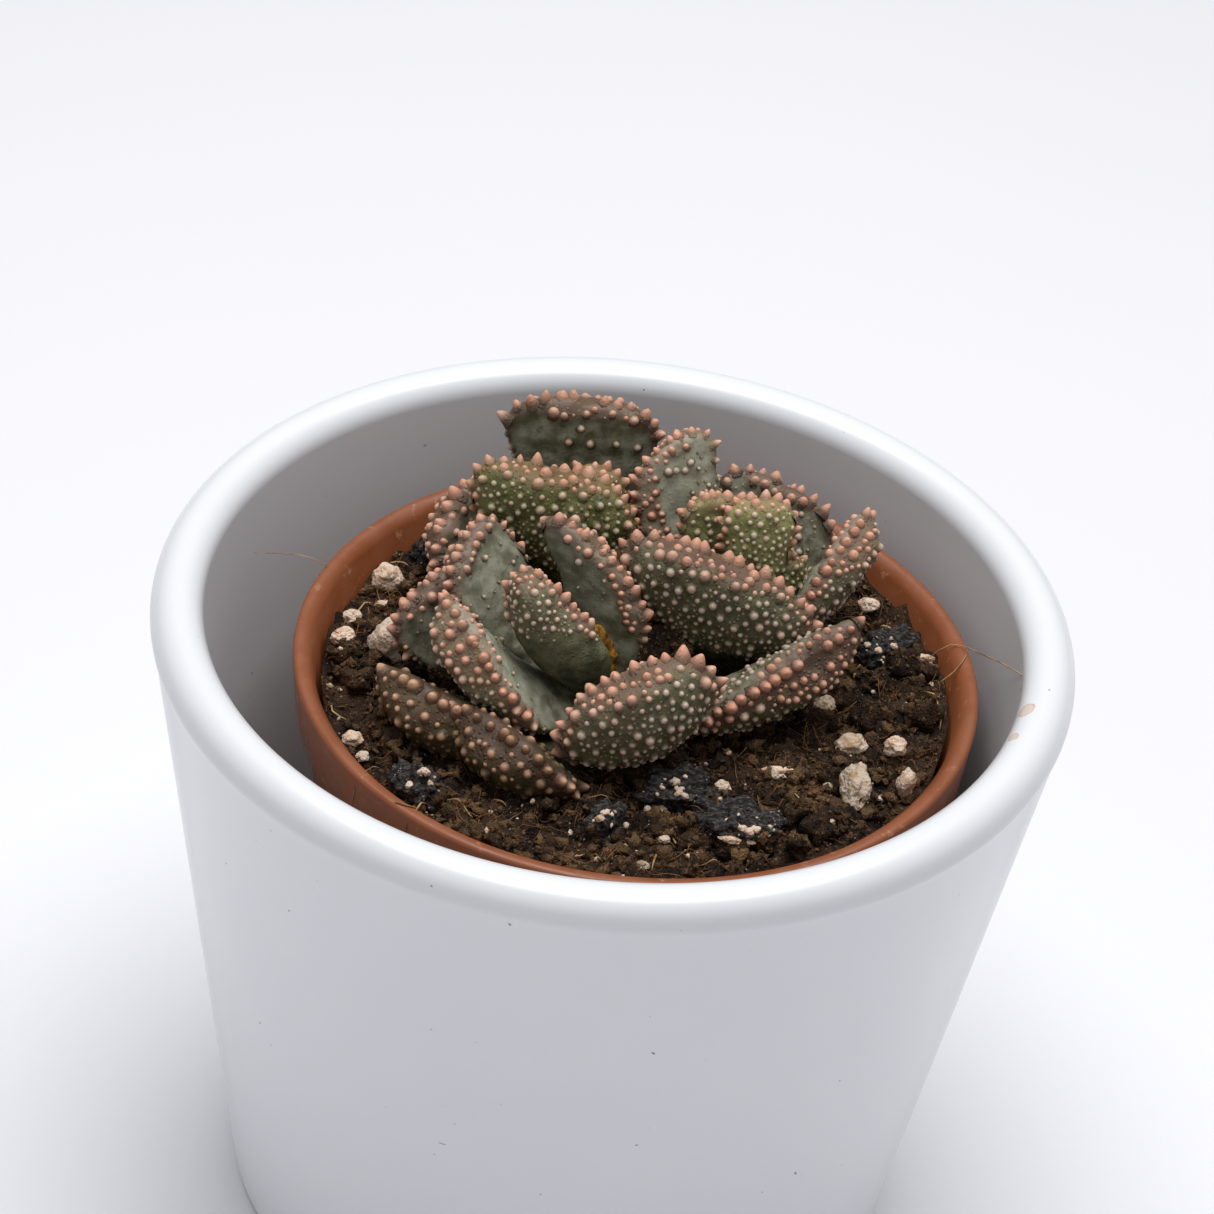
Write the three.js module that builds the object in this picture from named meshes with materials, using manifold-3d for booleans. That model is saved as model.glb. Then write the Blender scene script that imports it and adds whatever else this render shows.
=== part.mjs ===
// Potted titanopsis: a white cover pot, a small nursery pot of peat, and three heads of warty leaves.
// Units are millimetres, +Z is up, and the origin is the centre of the cover pot's underside.
import * as THREE from "three";
import { mergeVertices } from "three/addons/utils/BufferGeometryUtils.js";
import Module from "manifold-3d";

const wasm = await Module();
wasm.setup();

// Driving dimensions
const GAP = 0.3;
const FINEST_EDGE = 0.03;
const FULL_TURN = 2 * Math.PI;

const COVER_HEIGHT = 58.4;
const COVER_RIM_RADIUS = 36.7;
const COVER_WALL_TOP_RADIUS = 36.4;
const COVER_FOOT_RADIUS = 28.2;
const COVER_LIP_RADIUS = 2.1;
const COVER_LIP_NECK = 1.2;
const COVER_FLOOR = 4;
const COVER_EDGE_RADIUS = 1.5;
const COVER_INNER_RADIUS = 24.8;
const COVER_INNER_FILLET = 2;
const COVER_SIDES = 48;

const NURSERY_CENTRE = [2.1, 0.8];
const NURSERY_HEIGHT = 48;
const NURSERY_RIM_RADIUS = 27.5;
const NURSERY_RIM_BAND = 5;
const NURSERY_STEP = 0.7;
const NURSERY_FOOT_RADIUS = 20;
const NURSERY_WALL = 0.9;
const NURSERY_CHAMFER = 0.8;
const NURSERY_EDGE = 0.4;
const NURSERY_SIDES = 40;
const DRAIN_HOLES = 5;
const DRAIN_RADIUS = 2.5;
const DRAIN_RING_RADIUS = 12;
const DRAIN_SIDES = 10;

const SOIL_DEPTH = 4;
const SOIL_SIDES = 40;
const SOIL_RINGS = 8;
const SOIL_RADIUS = 24.9;
const SOIL_LUMP = 0.55;
const SOIL_BANK = 2.4;
const SOIL_BANK_START = 0.55;
const SOIL_BANK_EVEN = 0.7;
const SOIL_BANK_LEAN = [0.15, 0.25];
const SOIL_CLEARANCE = GAP + 0.1;
const GRAIN_RADIUS = 0.62;
const GRAIN_RISE = 0.25;
const CHIP_THICKNESS = 1.8;
const CHIP_RISE = 0.35;
const CHIP_TILT = 0.3;

const STEM_RADIUS = 3;
const STEM_DEPTH = 9;
const STEM_SHOULDER = 1.4;
const STEM_FOOT_TAPER = 2;
const STEM_SIDES = 12;

// Shares of a leaf's length unless they say otherwise
const LEAF_SIDES = 14;
const LEAF_SMOOTH_RINGS = 3;
const LEAF_WARTY_RINGS = 8;
const LEAF_WARTY_START = 0.36;
const LEAF_LAST_RING = 0.94;
const LEAF_RING_EASE = 0.86;
const LEAF_RING_SHAKE = 0.18;
const LEAF_NECK = 5;
const LEAF_NECK_OF_WIDTH = 0.55;
const LEAF_KEEL = 1.25;
const LEAF_FACE_SHARE = 0.28;
const LEAF_CAP_START = 0.82;
const LEAF_ROOM = GAP + 0.08;
const WART_HEIGHT = 0.5;
const WART_BACK_START = 0.4;
const WART_FACE_START = 0.86;
const WART_END_START = 0.88;
const WART_MARGIN_OF_WIDTH = 0.8;
const WART_MARGIN_GROWTH = 1.35;

const NURSERY_BASE = COVER_FLOOR + GAP;
const NURSERY_RIM_HEIGHT = NURSERY_BASE + NURSERY_HEIGHT;
const SOIL_TOP = NURSERY_RIM_HEIGHT - SOIL_DEPTH;

// The three heads of leaves: the middle of each stem, and how far it stands out of the soil.
const HEADS = {
  front: { centre: [0.5, -1.5], rise: 2.6 },
  right: { centre: [10, 8.5], rise: 2.6 },
  back: { centre: [-4.5, 14], rise: 2.6 },
};

// Each leaf runs from its base to its tip. Across is its end, from left to right as seen from behind
// the back with the tip up. It is widest at the shoulder, that far short of the tip. Bow swells the
// middle towards the back, and blunt squares the end off. A dried leaf has no warts.
const LEAVES = [
  { name: "front_head_leaf_near", base: [2, -3, 50], tip: [1.4, -8, 57.5], across: [10.7, 2.8, 6],
    shoulder: 4.4, bow: 4.4, thick: 4.6, blunt: 2.9, seed: 11 },
  { name: "front_head_leaf_left", base: [-1, -3, 50], tip: [-11.3, -6.2, 58.5], across: [6.6, -6, -5.2],
    shoulder: 4.5, bow: 3.2, thick: 3.8, blunt: 2.8, seed: 12 },
  { name: "front_head_leaf_young", base: [-0.9, -2.2, 51], tip: [-7.4, -1.5, 61.5], across: [7.4, -1.3, 0.6],
    shoulder: 7.6, bow: 1.2, thick: 3.2, blunt: 1.6, tint: "young", seed: 13 },
  { name: "front_head_leaf_far", base: [0, 0.5, 50.5], tip: [-2.7, 3.7, 61.1], across: [-8.1, 2.8, 5],
    shoulder: 3.5, bow: 1, thick: 2.8, blunt: 3, seed: 14 },
  { name: "front_head_leaf_right", base: [3, -2.5, 50], tip: [15.7, -1, 56.2], across: [9.3, 6.2, 4.9],
    shoulder: 4, bow: 1.8, thick: 4.4, blunt: 3.6, seed: 19 },
  { name: "front_head_leaf_back_left", base: [-3, 1, 50], tip: [-12.5, 3.5, 60], across: [-2.5, -7, -3],
    shoulder: 3.5, bow: 1, thick: 3, blunt: 3, seed: 15 },
  { name: "front_head_leaf_outer_left", base: [-4, -1.5, 49.5], tip: [-15.5, 0.5, 57],
    across: [-5.5, -4.5, -5], shoulder: 3.5, bow: 2, thick: 2.8, blunt: 3, seed: 16 },
  { name: "front_head_leaf_low_left", base: [-3, -3, 49.5], tip: [-14.5, -8.2, 53.9],
    across: [8.9, -4.3, -1.5], shoulder: 4, bow: 5, thick: 4.2, blunt: 2.8, tint: "old", seed: 17 },
  { name: "front_head_leaf_low_near", base: [-1.5, -4, 49.5], tip: [-8.1, -11.6, 53.4],
    across: [9.4, -6.2, -1.4], shoulder: 4, bow: 5, thick: 4.2, blunt: 2.8, tint: "old", seed: 18 },
  { name: "front_head_leaf_dried", base: [0.6, -0.9, 51], tip: [-1.8, -0.8, 56.6], across: [2.2, 1, -0.3],
    shoulder: 2, bow: -0.6, thick: 1.1, blunt: 2, tint: "dried", seed: 20 },
  { name: "right_head_leaf_near", base: [9.5, 6.5, 50], tip: [7.3, 4.8, 60.4], across: [16.5, -2, -4],
    shoulder: 4.5, bow: 2.5, thick: 4, blunt: 2.8, seed: 21 },
  { name: "right_head_leaf_right", base: [12, 8, 50], tip: [18, 10, 60], across: [4.5, 8, 3],
    shoulder: 4, bow: 1, thick: 3.2, blunt: 2.6, seed: 22 },
  { name: "right_head_leaf_far", base: [11, 10.5, 50], tip: [12.5, 18.5, 58.5], across: [-9.5, 2, 3],
    shoulder: 4, bow: 1, thick: 3, blunt: 3, seed: 23 },
  { name: "right_head_leaf_left", base: [7.5, 10.5, 50.5], tip: [2.7, 15.6, 63.2], across: [-5.5, -2.8, -4.6],
    shoulder: 4, bow: 1, thick: 3, blunt: 2.6, seed: 24 },
  { name: "right_head_leaf_young_near", base: [11, 8.5, 52], tip: [10.5, 11, 62], across: [5.5, 1, 0],
    shoulder: 3, bow: 0.6, thick: 2.2, blunt: 3, tint: "young", seed: 26 },
  { name: "right_head_leaf_young_far", base: [9.5, 9.5, 52], tip: [7.2, 12, 61], across: [-6, -2, 0],
    shoulder: 3, bow: 0.6, thick: 2, blunt: 3, tint: "young", seed: 27 },
  { name: "right_head_leaf_inner", base: [12, 9.5, 51], tip: [13.2, 11, 56.8], across: [3.6, 2, 0],
    shoulder: 3, bow: 0.5, thick: 2.2, blunt: 2.4, tint: "young", seed: 28 },
  { name: "back_head_leaf_near", base: [-4.5, 12, 50], tip: [-6.6, 12, 62.1], across: [13, 0.5, -2],
    shoulder: 4, bow: 2, thick: 3.6, blunt: 3.2, seed: 31 },
  { name: "back_head_leaf_young", base: [-3.5, 14.5, 52], tip: [-2.4, 15, 60.6], across: [5, 0, -1],
    shoulder: 3, bow: 0.4, thick: 2.2, blunt: 2.4, tint: "young", seed: 32 },
  { name: "back_head_leaf_far", base: [-4, 16, 50], tip: [-4.3, 20, 63.5], across: [-12.3, -1, 0.5],
    shoulder: 3, bow: 1, thick: 3, blunt: 3, seed: 33 },
  { name: "back_head_leaf_left", base: [-6, 13.5, 50], tip: [-14.5, 10, 57.5], across: [-2, -7, -4],
    shoulder: 3.5, bow: 1, thick: 3, blunt: 3, tint: "old", seed: 34 },
];

// Grains of perlite that show in the photo: place on the soil and size.
const PERLITE = [
  [-18.9, 10.9, 1.9], [-21.3, 5.4, 1.3], [-21.7, 2.7, 1.3], [-17.3, 2.5, 2.4], [-19, 8.3, 1.1],
  [-19.5, -9.1, 1.2], [-18.5, -11.8, 0.9], [-14.6, -9.7, 0.8], [20.1, -9.3, 2], [19.8, -3.1, 1.4],
  [23.1, -4.4, 1.3], [17.5, 1.9, 1.3], [24.1, -8.5, 1.2], [14.2, -7.4, 1.2], [9.8, -9.4, 1],
  [25.3, 7.1, 1.2], [20.7, 14, 1.2], [4.1, -21.3, 0.8], [10.6, -17.9, 1],
];

// Chips of dark bark: place, length, width and bearing of the length in degrees.
const BARK = [
  [6.5, -10.8, 4.5, 3, 20], [11.6, -16, 5, 3, 10], [22.5, 9, 4.5, 3, 60], [-14, -15, 3.5, 2.2, -30],
  [-15, 15, 3.5, 2.4, 40], [15, 18, 4, 2.6, -20], [1, -17, 3.2, 2.2, 70],
];

const lerp = THREE.MathUtils.lerp;
const clamp = THREE.MathUtils.clamp;
const smoothstep = THREE.MathUtils.smoothstep;
const radians = THREE.MathUtils.degToRad;

// A repeatable row of draws between 0 and 1.
function seededDraws(seed) {
  let state = seed * 7919 + 13;
  return () => {
    state = (state * 16807) % 2147483647;
    return state / 2147483647;
  };
}

function solidFrom(points, triangles) {
  return new wasm.Manifold(
    new wasm.Mesh({
      numProp: 3,
      vertProperties: new Float32Array(points.flatMap((p) => [p.x, p.y, p.z])),
      triVerts: new Uint32Array(triangles.flat()),
    }),
  );
}

function solidOf(geometry) {
  const plain = geometry.clone();
  plain.deleteAttribute("normal");
  plain.deleteAttribute("uv");
  const merged = mergeVertices(plain, 1e-4);
  return new wasm.Manifold(
    new wasm.Mesh({
      numProp: 3,
      vertProperties: new Float32Array(merged.attributes.position.array),
      triVerts: new Uint32Array(merged.index.array),
    }),
  );
}

function geometryOf(solid) {
  const mesh = solid.getMesh();
  const geometry = new THREE.BufferGeometry();
  geometry.setAttribute("position", new THREE.BufferAttribute(mesh.vertProperties, 3));
  geometry.setIndex(new THREE.BufferAttribute(mesh.triVerts, 1));
  const faceted = geometry.toNonIndexed();
  faceted.computeVertexNormals();
  return faceted;
}

// The main piece of a cut solid, without the loose crumbs and slivers that the cuts leave.
function cleaned(solid) {
  const pieces = solid.decompose();
  const largest = pieces.reduce((best, piece) => (piece.volume() > best.volume() ? piece : best));
  return largest.simplify(FINEST_EDGE);
}

function named(name, solid, material) {
  const mesh = new THREE.Mesh(geometryOf(solid), material);
  mesh.name = name;
  return mesh;
}

// A closed outline of [radius, height] points turned about the Z axis.
function turned(outline, sides) {
  const points = outline.map(([radius, height]) => new THREE.Vector2(radius, height));
  const geometry = new THREE.LatheGeometry(points, sides);
  geometry.rotateX(Math.PI / 2);
  return geometry;
}

// Points of an arc in the outline plane, from one angle to another in degrees.
function arc([radius, height], size, from, to, steps) {
  return Array.from({ length: steps + 1 }, (_, i) => {
    const angle = radians(lerp(from, to, i / steps));
    return [radius + size * Math.cos(angle), height + size * Math.sin(angle)];
  });
}

// Cover pot: a straight cone with a full round lip that stands a hair proud of the wall.
function coverPot() {
  const lip = [COVER_RIM_RADIUS - COVER_LIP_RADIUS, COVER_HEIGHT - COVER_LIP_RADIUS];
  const foot = [COVER_FOOT_RADIUS - COVER_EDGE_RADIUS, COVER_EDGE_RADIUS];
  const innerFoot = [COVER_INNER_RADIUS - COVER_INNER_FILLET, COVER_FLOOR + COVER_INNER_FILLET];
  const outline = [
    [0, 0],
    ...arc(foot, COVER_EDGE_RADIUS, -90, -8, 3),
    [COVER_WALL_TOP_RADIUS, lip[1] - COVER_LIP_NECK],
    ...arc(lip, COVER_LIP_RADIUS, 0, 180, 8),
    ...arc(innerFoot, COVER_INNER_FILLET, 0, -90, 3),
    [0, COVER_FLOOR],
  ];
  return solidOf(turned(outline, COVER_SIDES));
}

function nurseryInnerRadius(height) {
  const up = (height - NURSERY_BASE) / NURSERY_HEIGHT;
  const wall = NURSERY_STEP + NURSERY_WALL;
  return lerp(NURSERY_FOOT_RADIUS - NURSERY_WALL, NURSERY_RIM_RADIUS - wall, up);
}

// Nursery pot: a thin tapered plastic pot, its rim a band that stands proud, with drain holes.
function nurseryPot() {
  const bandFoot = NURSERY_HEIGHT - NURSERY_RIM_BAND;
  const bandRadius = NURSERY_RIM_RADIUS - NURSERY_EDGE;
  const outline = [
    [0, 0],
    [NURSERY_FOOT_RADIUS - NURSERY_CHAMFER, 0],
    [NURSERY_FOOT_RADIUS, NURSERY_CHAMFER],
    [bandRadius - NURSERY_STEP, bandFoot],
    [bandRadius, bandFoot],
    [NURSERY_RIM_RADIUS, NURSERY_HEIGHT - NURSERY_EDGE],
    [bandRadius, NURSERY_HEIGHT],
    [NURSERY_RIM_RADIUS - NURSERY_WALL, NURSERY_HEIGHT],
    [NURSERY_RIM_RADIUS - NURSERY_STEP - NURSERY_WALL, NURSERY_HEIGHT - NURSERY_CHAMFER],
    [NURSERY_FOOT_RADIUS - NURSERY_WALL, NURSERY_WALL],
    [0, NURSERY_WALL],
  ];
  let pot = solidOf(turned(outline, NURSERY_SIDES));
  for (let i = 0; i < DRAIN_HOLES; i += 1) {
    const angle = (i / DRAIN_HOLES) * FULL_TURN;
    const hole = new THREE.CylinderGeometry(DRAIN_RADIUS, DRAIN_RADIUS, 4 * NURSERY_WALL, DRAIN_SIDES);
    hole.rotateX(Math.PI / 2);
    hole.translate(DRAIN_RING_RADIUS * Math.cos(angle), DRAIN_RING_RADIUS * Math.sin(angle), 0);
    pot = pot.subtract(solidOf(hole));
  }
  return pot.translate([...NURSERY_CENTRE, NURSERY_BASE]);
}

// How far the soil is banked up at a place near the wall, most of all at the back right.
function soilBank(x, y) {
  const right = (x - NURSERY_CENTRE[0]) / SOIL_RADIUS;
  const far = (y - NURSERY_CENTRE[1]) / SOIL_RADIUS;
  const lean = SOIL_BANK_LEAN[0] * right + SOIL_BANK_LEAN[1] * far;
  return SOIL_BANK * smoothstep(Math.hypot(right, far), SOIL_BANK_START, 1) * (SOIL_BANK_EVEN + lean);
}

// The height of the bumpy soil at a place.
function soilHeight(x, y) {
  const broad = Math.sin(0.31 * x + 0.7) * Math.cos(0.27 * y - 0.4);
  const fine = Math.sin(1.3 * x + 2.1 * y) + Math.sin(2.3 * x - 1.1 * y + 1);
  return SOIL_TOP + SOIL_LUMP * (0.7 * broad + 0.45 * fine) + soilBank(x, y);
}

// The soil is a bumpy plug that keeps its gap to the floor and the wall of the nursery pot.
function soilBody() {
  const floor = NURSERY_BASE + NURSERY_WALL + GAP;
  const outline = [[0, floor], [nurseryInnerRadius(floor) - SOIL_CLEARANCE, floor]];
  for (let ring = SOIL_RINGS; ring > 0; ring -= 1) {
    outline.push([(SOIL_RADIUS * ring) / SOIL_RINGS, SOIL_TOP]);
  }
  outline.push([0, SOIL_TOP]);
  const geometry = turned(outline, SOIL_SIDES);
  geometry.translate(...NURSERY_CENTRE, 0);
  const position = geometry.attributes.position;
  for (let i = 0; i < position.count; i += 1) {
    if (position.getZ(i) > SOIL_TOP - GAP) {
      position.setZ(i, soilHeight(position.getX(i), position.getY(i)));
    }
  }
  return solidOf(geometry);
}

// A grain of perlite: a lumpy ball of 20 faces, sunk by a third.
function perliteGrain([x, y, size], draw) {
  const grain = new THREE.IcosahedronGeometry(size * GRAIN_RADIUS, 0);
  grain.scale(lerp(0.85, 1.2, draw()), lerp(0.8, 1.1, draw()), lerp(0.75, 1, draw()));
  grain.rotateZ(draw() * FULL_TURN);
  grain.translate(x, y, soilHeight(x, y) + size * GRAIN_RISE);
  return solidOf(grain);
}

function barkChip([x, y, length, width, bearing], draw) {
  const chip = new THREE.DodecahedronGeometry(0.5, 0);
  chip.scale(length, width, CHIP_THICKNESS);
  chip.rotateX(lerp(-CHIP_TILT, CHIP_TILT, draw()));
  chip.rotateZ(radians(bearing));
  chip.translate(x, y, soilHeight(x, y) + CHIP_RISE);
  return solidOf(chip);
}

// A stem stands in its hole in the soil. Swell makes it larger, to cut the room that it stands in.
function stem({ centre: [x, y], rise }, swell = 0) {
  const top = SOIL_TOP + rise + swell;
  const foot = SOIL_TOP - STEM_DEPTH - swell;
  const radius = STEM_RADIUS + swell;
  const outline = [
    [0, foot], [radius * 0.8, foot], [radius, foot + STEM_FOOT_TAPER],
    [radius, top - STEM_SHOULDER], [radius * 0.75, top - 0.3 * STEM_SHOULDER], [0, top],
  ];
  const geometry = turned(outline, STEM_SIDES);
  geometry.translate(x, y, 0);
  return solidOf(geometry);
}

// The blade of a leaf: its centre line, the line across its end, and its width at the shoulder.
function leafBlade(leaf) {
  const base = new THREE.Vector3(...leaf.base);
  const tip = new THREE.Vector3(...leaf.tip);
  const across = new THREE.Vector3(...leaf.across);
  const chord = tip.clone().sub(base);
  const back = across.clone().cross(chord).normalize();
  const middle = base.clone().lerp(tip, 0.5).addScaledVector(back, leaf.bow);
  const line = new THREE.QuadraticBezierCurve3(base, middle, tip);
  const along = line.getTangent(1);
  const slant = across.dot(along);
  const width = across.clone().addScaledVector(along, -slant).length();
  const shoulder = 1 - leaf.shoulder / chord.length();
  return { leaf, line, across, slant, width, shoulder };
}

// Half the width and the thickness of a leaf at a share of its length: a neck, a spoon, a blunt end.
function leafSize({ leaf, width, shoulder }, share) {
  const spoon = smoothstep(share, 0.05, shoulder + 0.08);
  const end = clamp((share - shoulder) / (1 - shoulder), 0, 1);
  const cap = clamp((share - LEAF_CAP_START) / (1 - LEAF_CAP_START), 0, 1);
  const neck = Math.min(LEAF_NECK, width * LEAF_NECK_OF_WIDTH);
  return {
    half: (lerp(neck, width, spoon) / 2) * (1 - end ** leaf.blunt) ** (1 / leaf.blunt),
    thick: lerp(neck / 2, leaf.thick, spoon) * (1 - cap ** 3) ** (1 / 3),
  };
}

// A point on the skin: turn runs round the section, a quarter is the flat face, three quarters the keel.
function leafPoint(blade, share, turn) {
  const along = blade.line.getTangent(share);
  const side = blade.across.clone().addScaledVector(along, -blade.across.dot(along)).normalize();
  const back = side.clone().cross(along);
  const { half, thick } = leafSize(blade, share);
  const across = Math.cos(turn * FULL_TURN);
  const through = Math.sin(turn * FULL_TURN);
  const depth = through > 0
    ? -thick * LEAF_FACE_SHARE * through
    : thick * (1 - LEAF_FACE_SHARE) * Math.abs(through) ** LEAF_KEEL;
  return blade.line.getPoint(share)
    .addScaledVector(side, half * across)
    .addScaledVector(back, depth)
    .addScaledVector(along, blade.slant * across * (half / blade.width));
}

function leafShares() {
  const shares = [];
  for (let i = 0; i < LEAF_SMOOTH_RINGS; i += 1) {
    shares.push((LEAF_WARTY_START * i) / LEAF_SMOOTH_RINGS);
  }
  for (let i = 0; i <= LEAF_WARTY_RINGS; i += 1) {
    const step = (i / LEAF_WARTY_RINGS) * LEAF_LAST_RING;
    const eased = Math.sin((step * Math.PI) / 2) ** LEAF_RING_EASE;
    shares.push(lerp(LEAF_WARTY_START, 1, eased));
  }
  return shares;
}

// A leaf: rings of points from base to tip. Every other cell of the warty part rises to a point.
function leafSkin(leaf) {
  const draw = seededDraws(leaf.seed);
  const blade = leafBlade(leaf);
  const shares = leafShares();
  const points = [];
  const triangles = [];
  for (const share of shares) {
    const shake = share < LEAF_WARTY_START ? 0 : LEAF_RING_SHAKE;
    for (let k = 0; k < LEAF_SIDES; k += 1) {
      const turn = (k + shake * (draw() - 0.5)) / LEAF_SIDES;
      points.push(leafPoint(blade, share, turn));
    }
  }
  const last = shares.length - 1;
  for (let ring = 0; ring < last; ring += 1) {
    for (let k = 0; k < LEAF_SIDES; k += 1) {
      const next = (k + 1) % LEAF_SIDES;
      const a = ring * LEAF_SIDES + k;
      const b = ring * LEAF_SIDES + next;
      const c = b + LEAF_SIDES;
      const d = a + LEAF_SIDES;
      const share = (shares[ring] + shares[ring + 1]) / 2;
      const turn = (k + 0.5) / LEAF_SIDES;
      const height = wartHeight(share, turn) * lerp(0.75, 1.15, draw());
      if ((ring + k) % 2 === 0 && height > 0 && leaf.tint !== "dried") {
        const corners = [a, b, c, d].map((i) => points[i]);
        const middle = corners.reduce((sum, p) => sum.add(p), new THREE.Vector3()).divideScalar(4);
        const lean = corners[2].clone().sub(corners[0]).cross(corners[3].clone().sub(corners[1]));
        points.push(middle.addScaledVector(lean.normalize(), height));
        const top = points.length - 1;
        triangles.push([a, b, top], [b, c, top], [c, d, top], [d, a, top]);
      } else {
        triangles.push([a, b, c], [a, c, d]);
      }
    }
  }
  closeRing(points, triangles, 0, blade, 0);
  closeRing(points, triangles, last * LEAF_SIDES, blade, 1);
  return { points, triangles };
}

// Warts cover the back from under half way up, and the flat face only near the end.
function wartHeight(share, turn) {
  const face = Math.max(0, Math.sin(turn * FULL_TURN)) ** 0.5;
  const start = lerp(WART_BACK_START, WART_FACE_START, face);
  if (share < start) return 0;
  const edge = Math.abs(Math.cos(turn * FULL_TURN)) > WART_MARGIN_OF_WIDTH;
  return edge || share > WART_END_START ? WART_HEIGHT * WART_MARGIN_GROWTH : WART_HEIGHT;
}

function closeRing(points, triangles, first, blade, share) {
  points.push(blade.line.getPoint(share));
  const middle = points.length - 1;
  for (let k = 0; k < LEAF_SIDES; k += 1) {
    const a = first + k;
    const b = first + ((k + 1) % LEAF_SIDES);
    triangles.push(share === 0 ? [b, a, middle] : [a, b, middle]);
  }
}

// The same skin moved outwards, to cut room for a leaf in its neighbours.
function swollen({ points, triangles }, distance) {
  const normals = points.map(() => new THREE.Vector3());
  for (const [a, b, c] of triangles) {
    const edge = points[b].clone().sub(points[a]);
    const normal = edge.cross(points[c].clone().sub(points[a]));
    for (const i of [a, b, c]) normals[i].add(normal);
  }
  const moved = points.map((p, i) => p.clone().addScaledVector(normals[i].normalize(), distance));
  return solidFrom(moved, triangles);
}

function boxesMeet(one, other) {
  const a = one.boundingBox();
  const b = other.boundingBox();
  return [0, 1, 2].every((i) => a.min[i] < b.max[i] && b.min[i] < a.max[i]);
}

// Leaves are trimmed in turn: each keeps clear of the stems and of every leaf before it.
function trimmedLeaves(stemRooms) {
  const kept = [];
  const rooms = [...stemRooms];
  for (const leaf of LEAVES) {
    const skin = leafSkin(leaf);
    let solid = solidFrom(skin.points, skin.triangles);
    for (const room of rooms) {
      if (boxesMeet(solid, room)) solid = solid.subtract(room);
    }
    kept.push({ leaf, solid: cleaned(solid) });
    rooms.push(swollen(skin, LEAF_ROOM));
  }
  return { kept, rooms };
}

const GLAZE = new THREE.MeshStandardMaterial({ color: 0xeef0f3, roughness: 0.12, metalness: 0 });
const PLASTIC = new THREE.MeshStandardMaterial({ color: 0x9c5230, roughness: 0.45, metalness: 0 });
const PEAT = new THREE.MeshStandardMaterial({ color: 0x2a1c14, roughness: 0.95, metalness: 0 });
const BARE_STEM = new THREE.MeshStandardMaterial({ color: 0x5a4632, roughness: 0.9, metalness: 0 });
const LEAF_TINTS = {
  grown: new THREE.MeshStandardMaterial({ color: 0x59624f, roughness: 0.6, metalness: 0 }),
  young: new THREE.MeshStandardMaterial({ color: 0x76794f, roughness: 0.6, metalness: 0 }),
  old: new THREE.MeshStandardMaterial({ color: 0x6a5044, roughness: 0.65, metalness: 0 }),
  dried: new THREE.MeshStandardMaterial({ color: 0x8c6a26, roughness: 0.9, metalness: 0 }),
};

function pottedTitanopsis() {
  const draw = seededDraws(5);
  const group = new THREE.Group();
  const heads = Object.entries(HEADS);
  const { kept, rooms } = trimmedLeaves(heads.map(([, head]) => stem(head, GAP)));
  let soil = soilBody();
  for (const grain of PERLITE) soil = soil.add(perliteGrain(grain, draw));
  for (const chip of BARK) soil = soil.add(barkChip(chip, draw));
  for (const room of rooms) soil = soil.subtract(room);
  group.add(named("cover_pot", coverPot(), GLAZE));
  group.add(named("nursery_pot", nurseryPot(), PLASTIC));
  group.add(named("soil", cleaned(soil), PEAT));
  for (const [name, head] of heads) group.add(named(`${name}_head_stem`, stem(head), BARE_STEM));
  for (const { leaf, solid } of kept) {
    group.add(named(leaf.name, solid, LEAF_TINTS[leaf.tint ?? "grown"]));
  }
  return group;
}

export default pottedTitanopsis();
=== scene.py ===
import math
import random

import bmesh
import bpy
import numpy as np
from mathutils import Matrix, Vector, noise
from mathutils.bvhtree import BVHTree


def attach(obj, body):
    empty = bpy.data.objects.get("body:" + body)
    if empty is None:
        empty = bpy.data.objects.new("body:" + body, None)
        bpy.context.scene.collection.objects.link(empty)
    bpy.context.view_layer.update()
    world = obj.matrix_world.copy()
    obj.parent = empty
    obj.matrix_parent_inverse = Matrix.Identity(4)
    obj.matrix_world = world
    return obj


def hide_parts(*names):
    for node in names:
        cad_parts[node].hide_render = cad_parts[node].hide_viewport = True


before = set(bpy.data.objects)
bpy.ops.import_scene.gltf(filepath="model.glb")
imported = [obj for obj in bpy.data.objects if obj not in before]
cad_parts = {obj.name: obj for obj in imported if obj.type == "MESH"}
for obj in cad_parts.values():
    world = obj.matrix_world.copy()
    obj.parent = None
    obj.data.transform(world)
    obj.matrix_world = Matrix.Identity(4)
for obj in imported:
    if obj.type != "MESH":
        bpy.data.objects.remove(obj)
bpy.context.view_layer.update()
scene = bpy.context.scene

MM = 0.001
FULL_TURN = 2 * math.pi
GAP = 0.3

# Cover pot
COVER_HEIGHT = 58.4
COVER_RIM_RADIUS = 36.7
COVER_WALL_TOP_RADIUS = 36.4
COVER_FOOT_RADIUS = 28.2
COVER_LIP_RADIUS = 2.1
COVER_LIP_NECK = 1.2
COVER_FLOOR = 4
COVER_EDGE_RADIUS = 1.5
COVER_INNER_RADIUS = 24.8
COVER_INNER_FILLET = 2
COVER_STEPS = 176

# Nursery pot
NURSERY_CENTRE = Vector((2.1, 0.8, 0))
NURSERY_BASE = COVER_FLOOR + GAP
NURSERY_HEIGHT = 48
NURSERY_RIM_RADIUS = 27.5
NURSERY_RIM_BAND = 5
NURSERY_STEP = 0.7
NURSERY_FOOT_RADIUS = 20
NURSERY_WALL = 0.9
NURSERY_EDGE = 0.4
NURSERY_CHAMFER = 0.8
NURSERY_BEVEL = 0.15
NURSERY_TAPER = 0.1
NURSERY_STEPS = 160
DRAIN_HOLES = 5
DRAIN_RADIUS = 2.5
DRAIN_RING_RADIUS = 12
DRAIN_SIDES = 28

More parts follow.
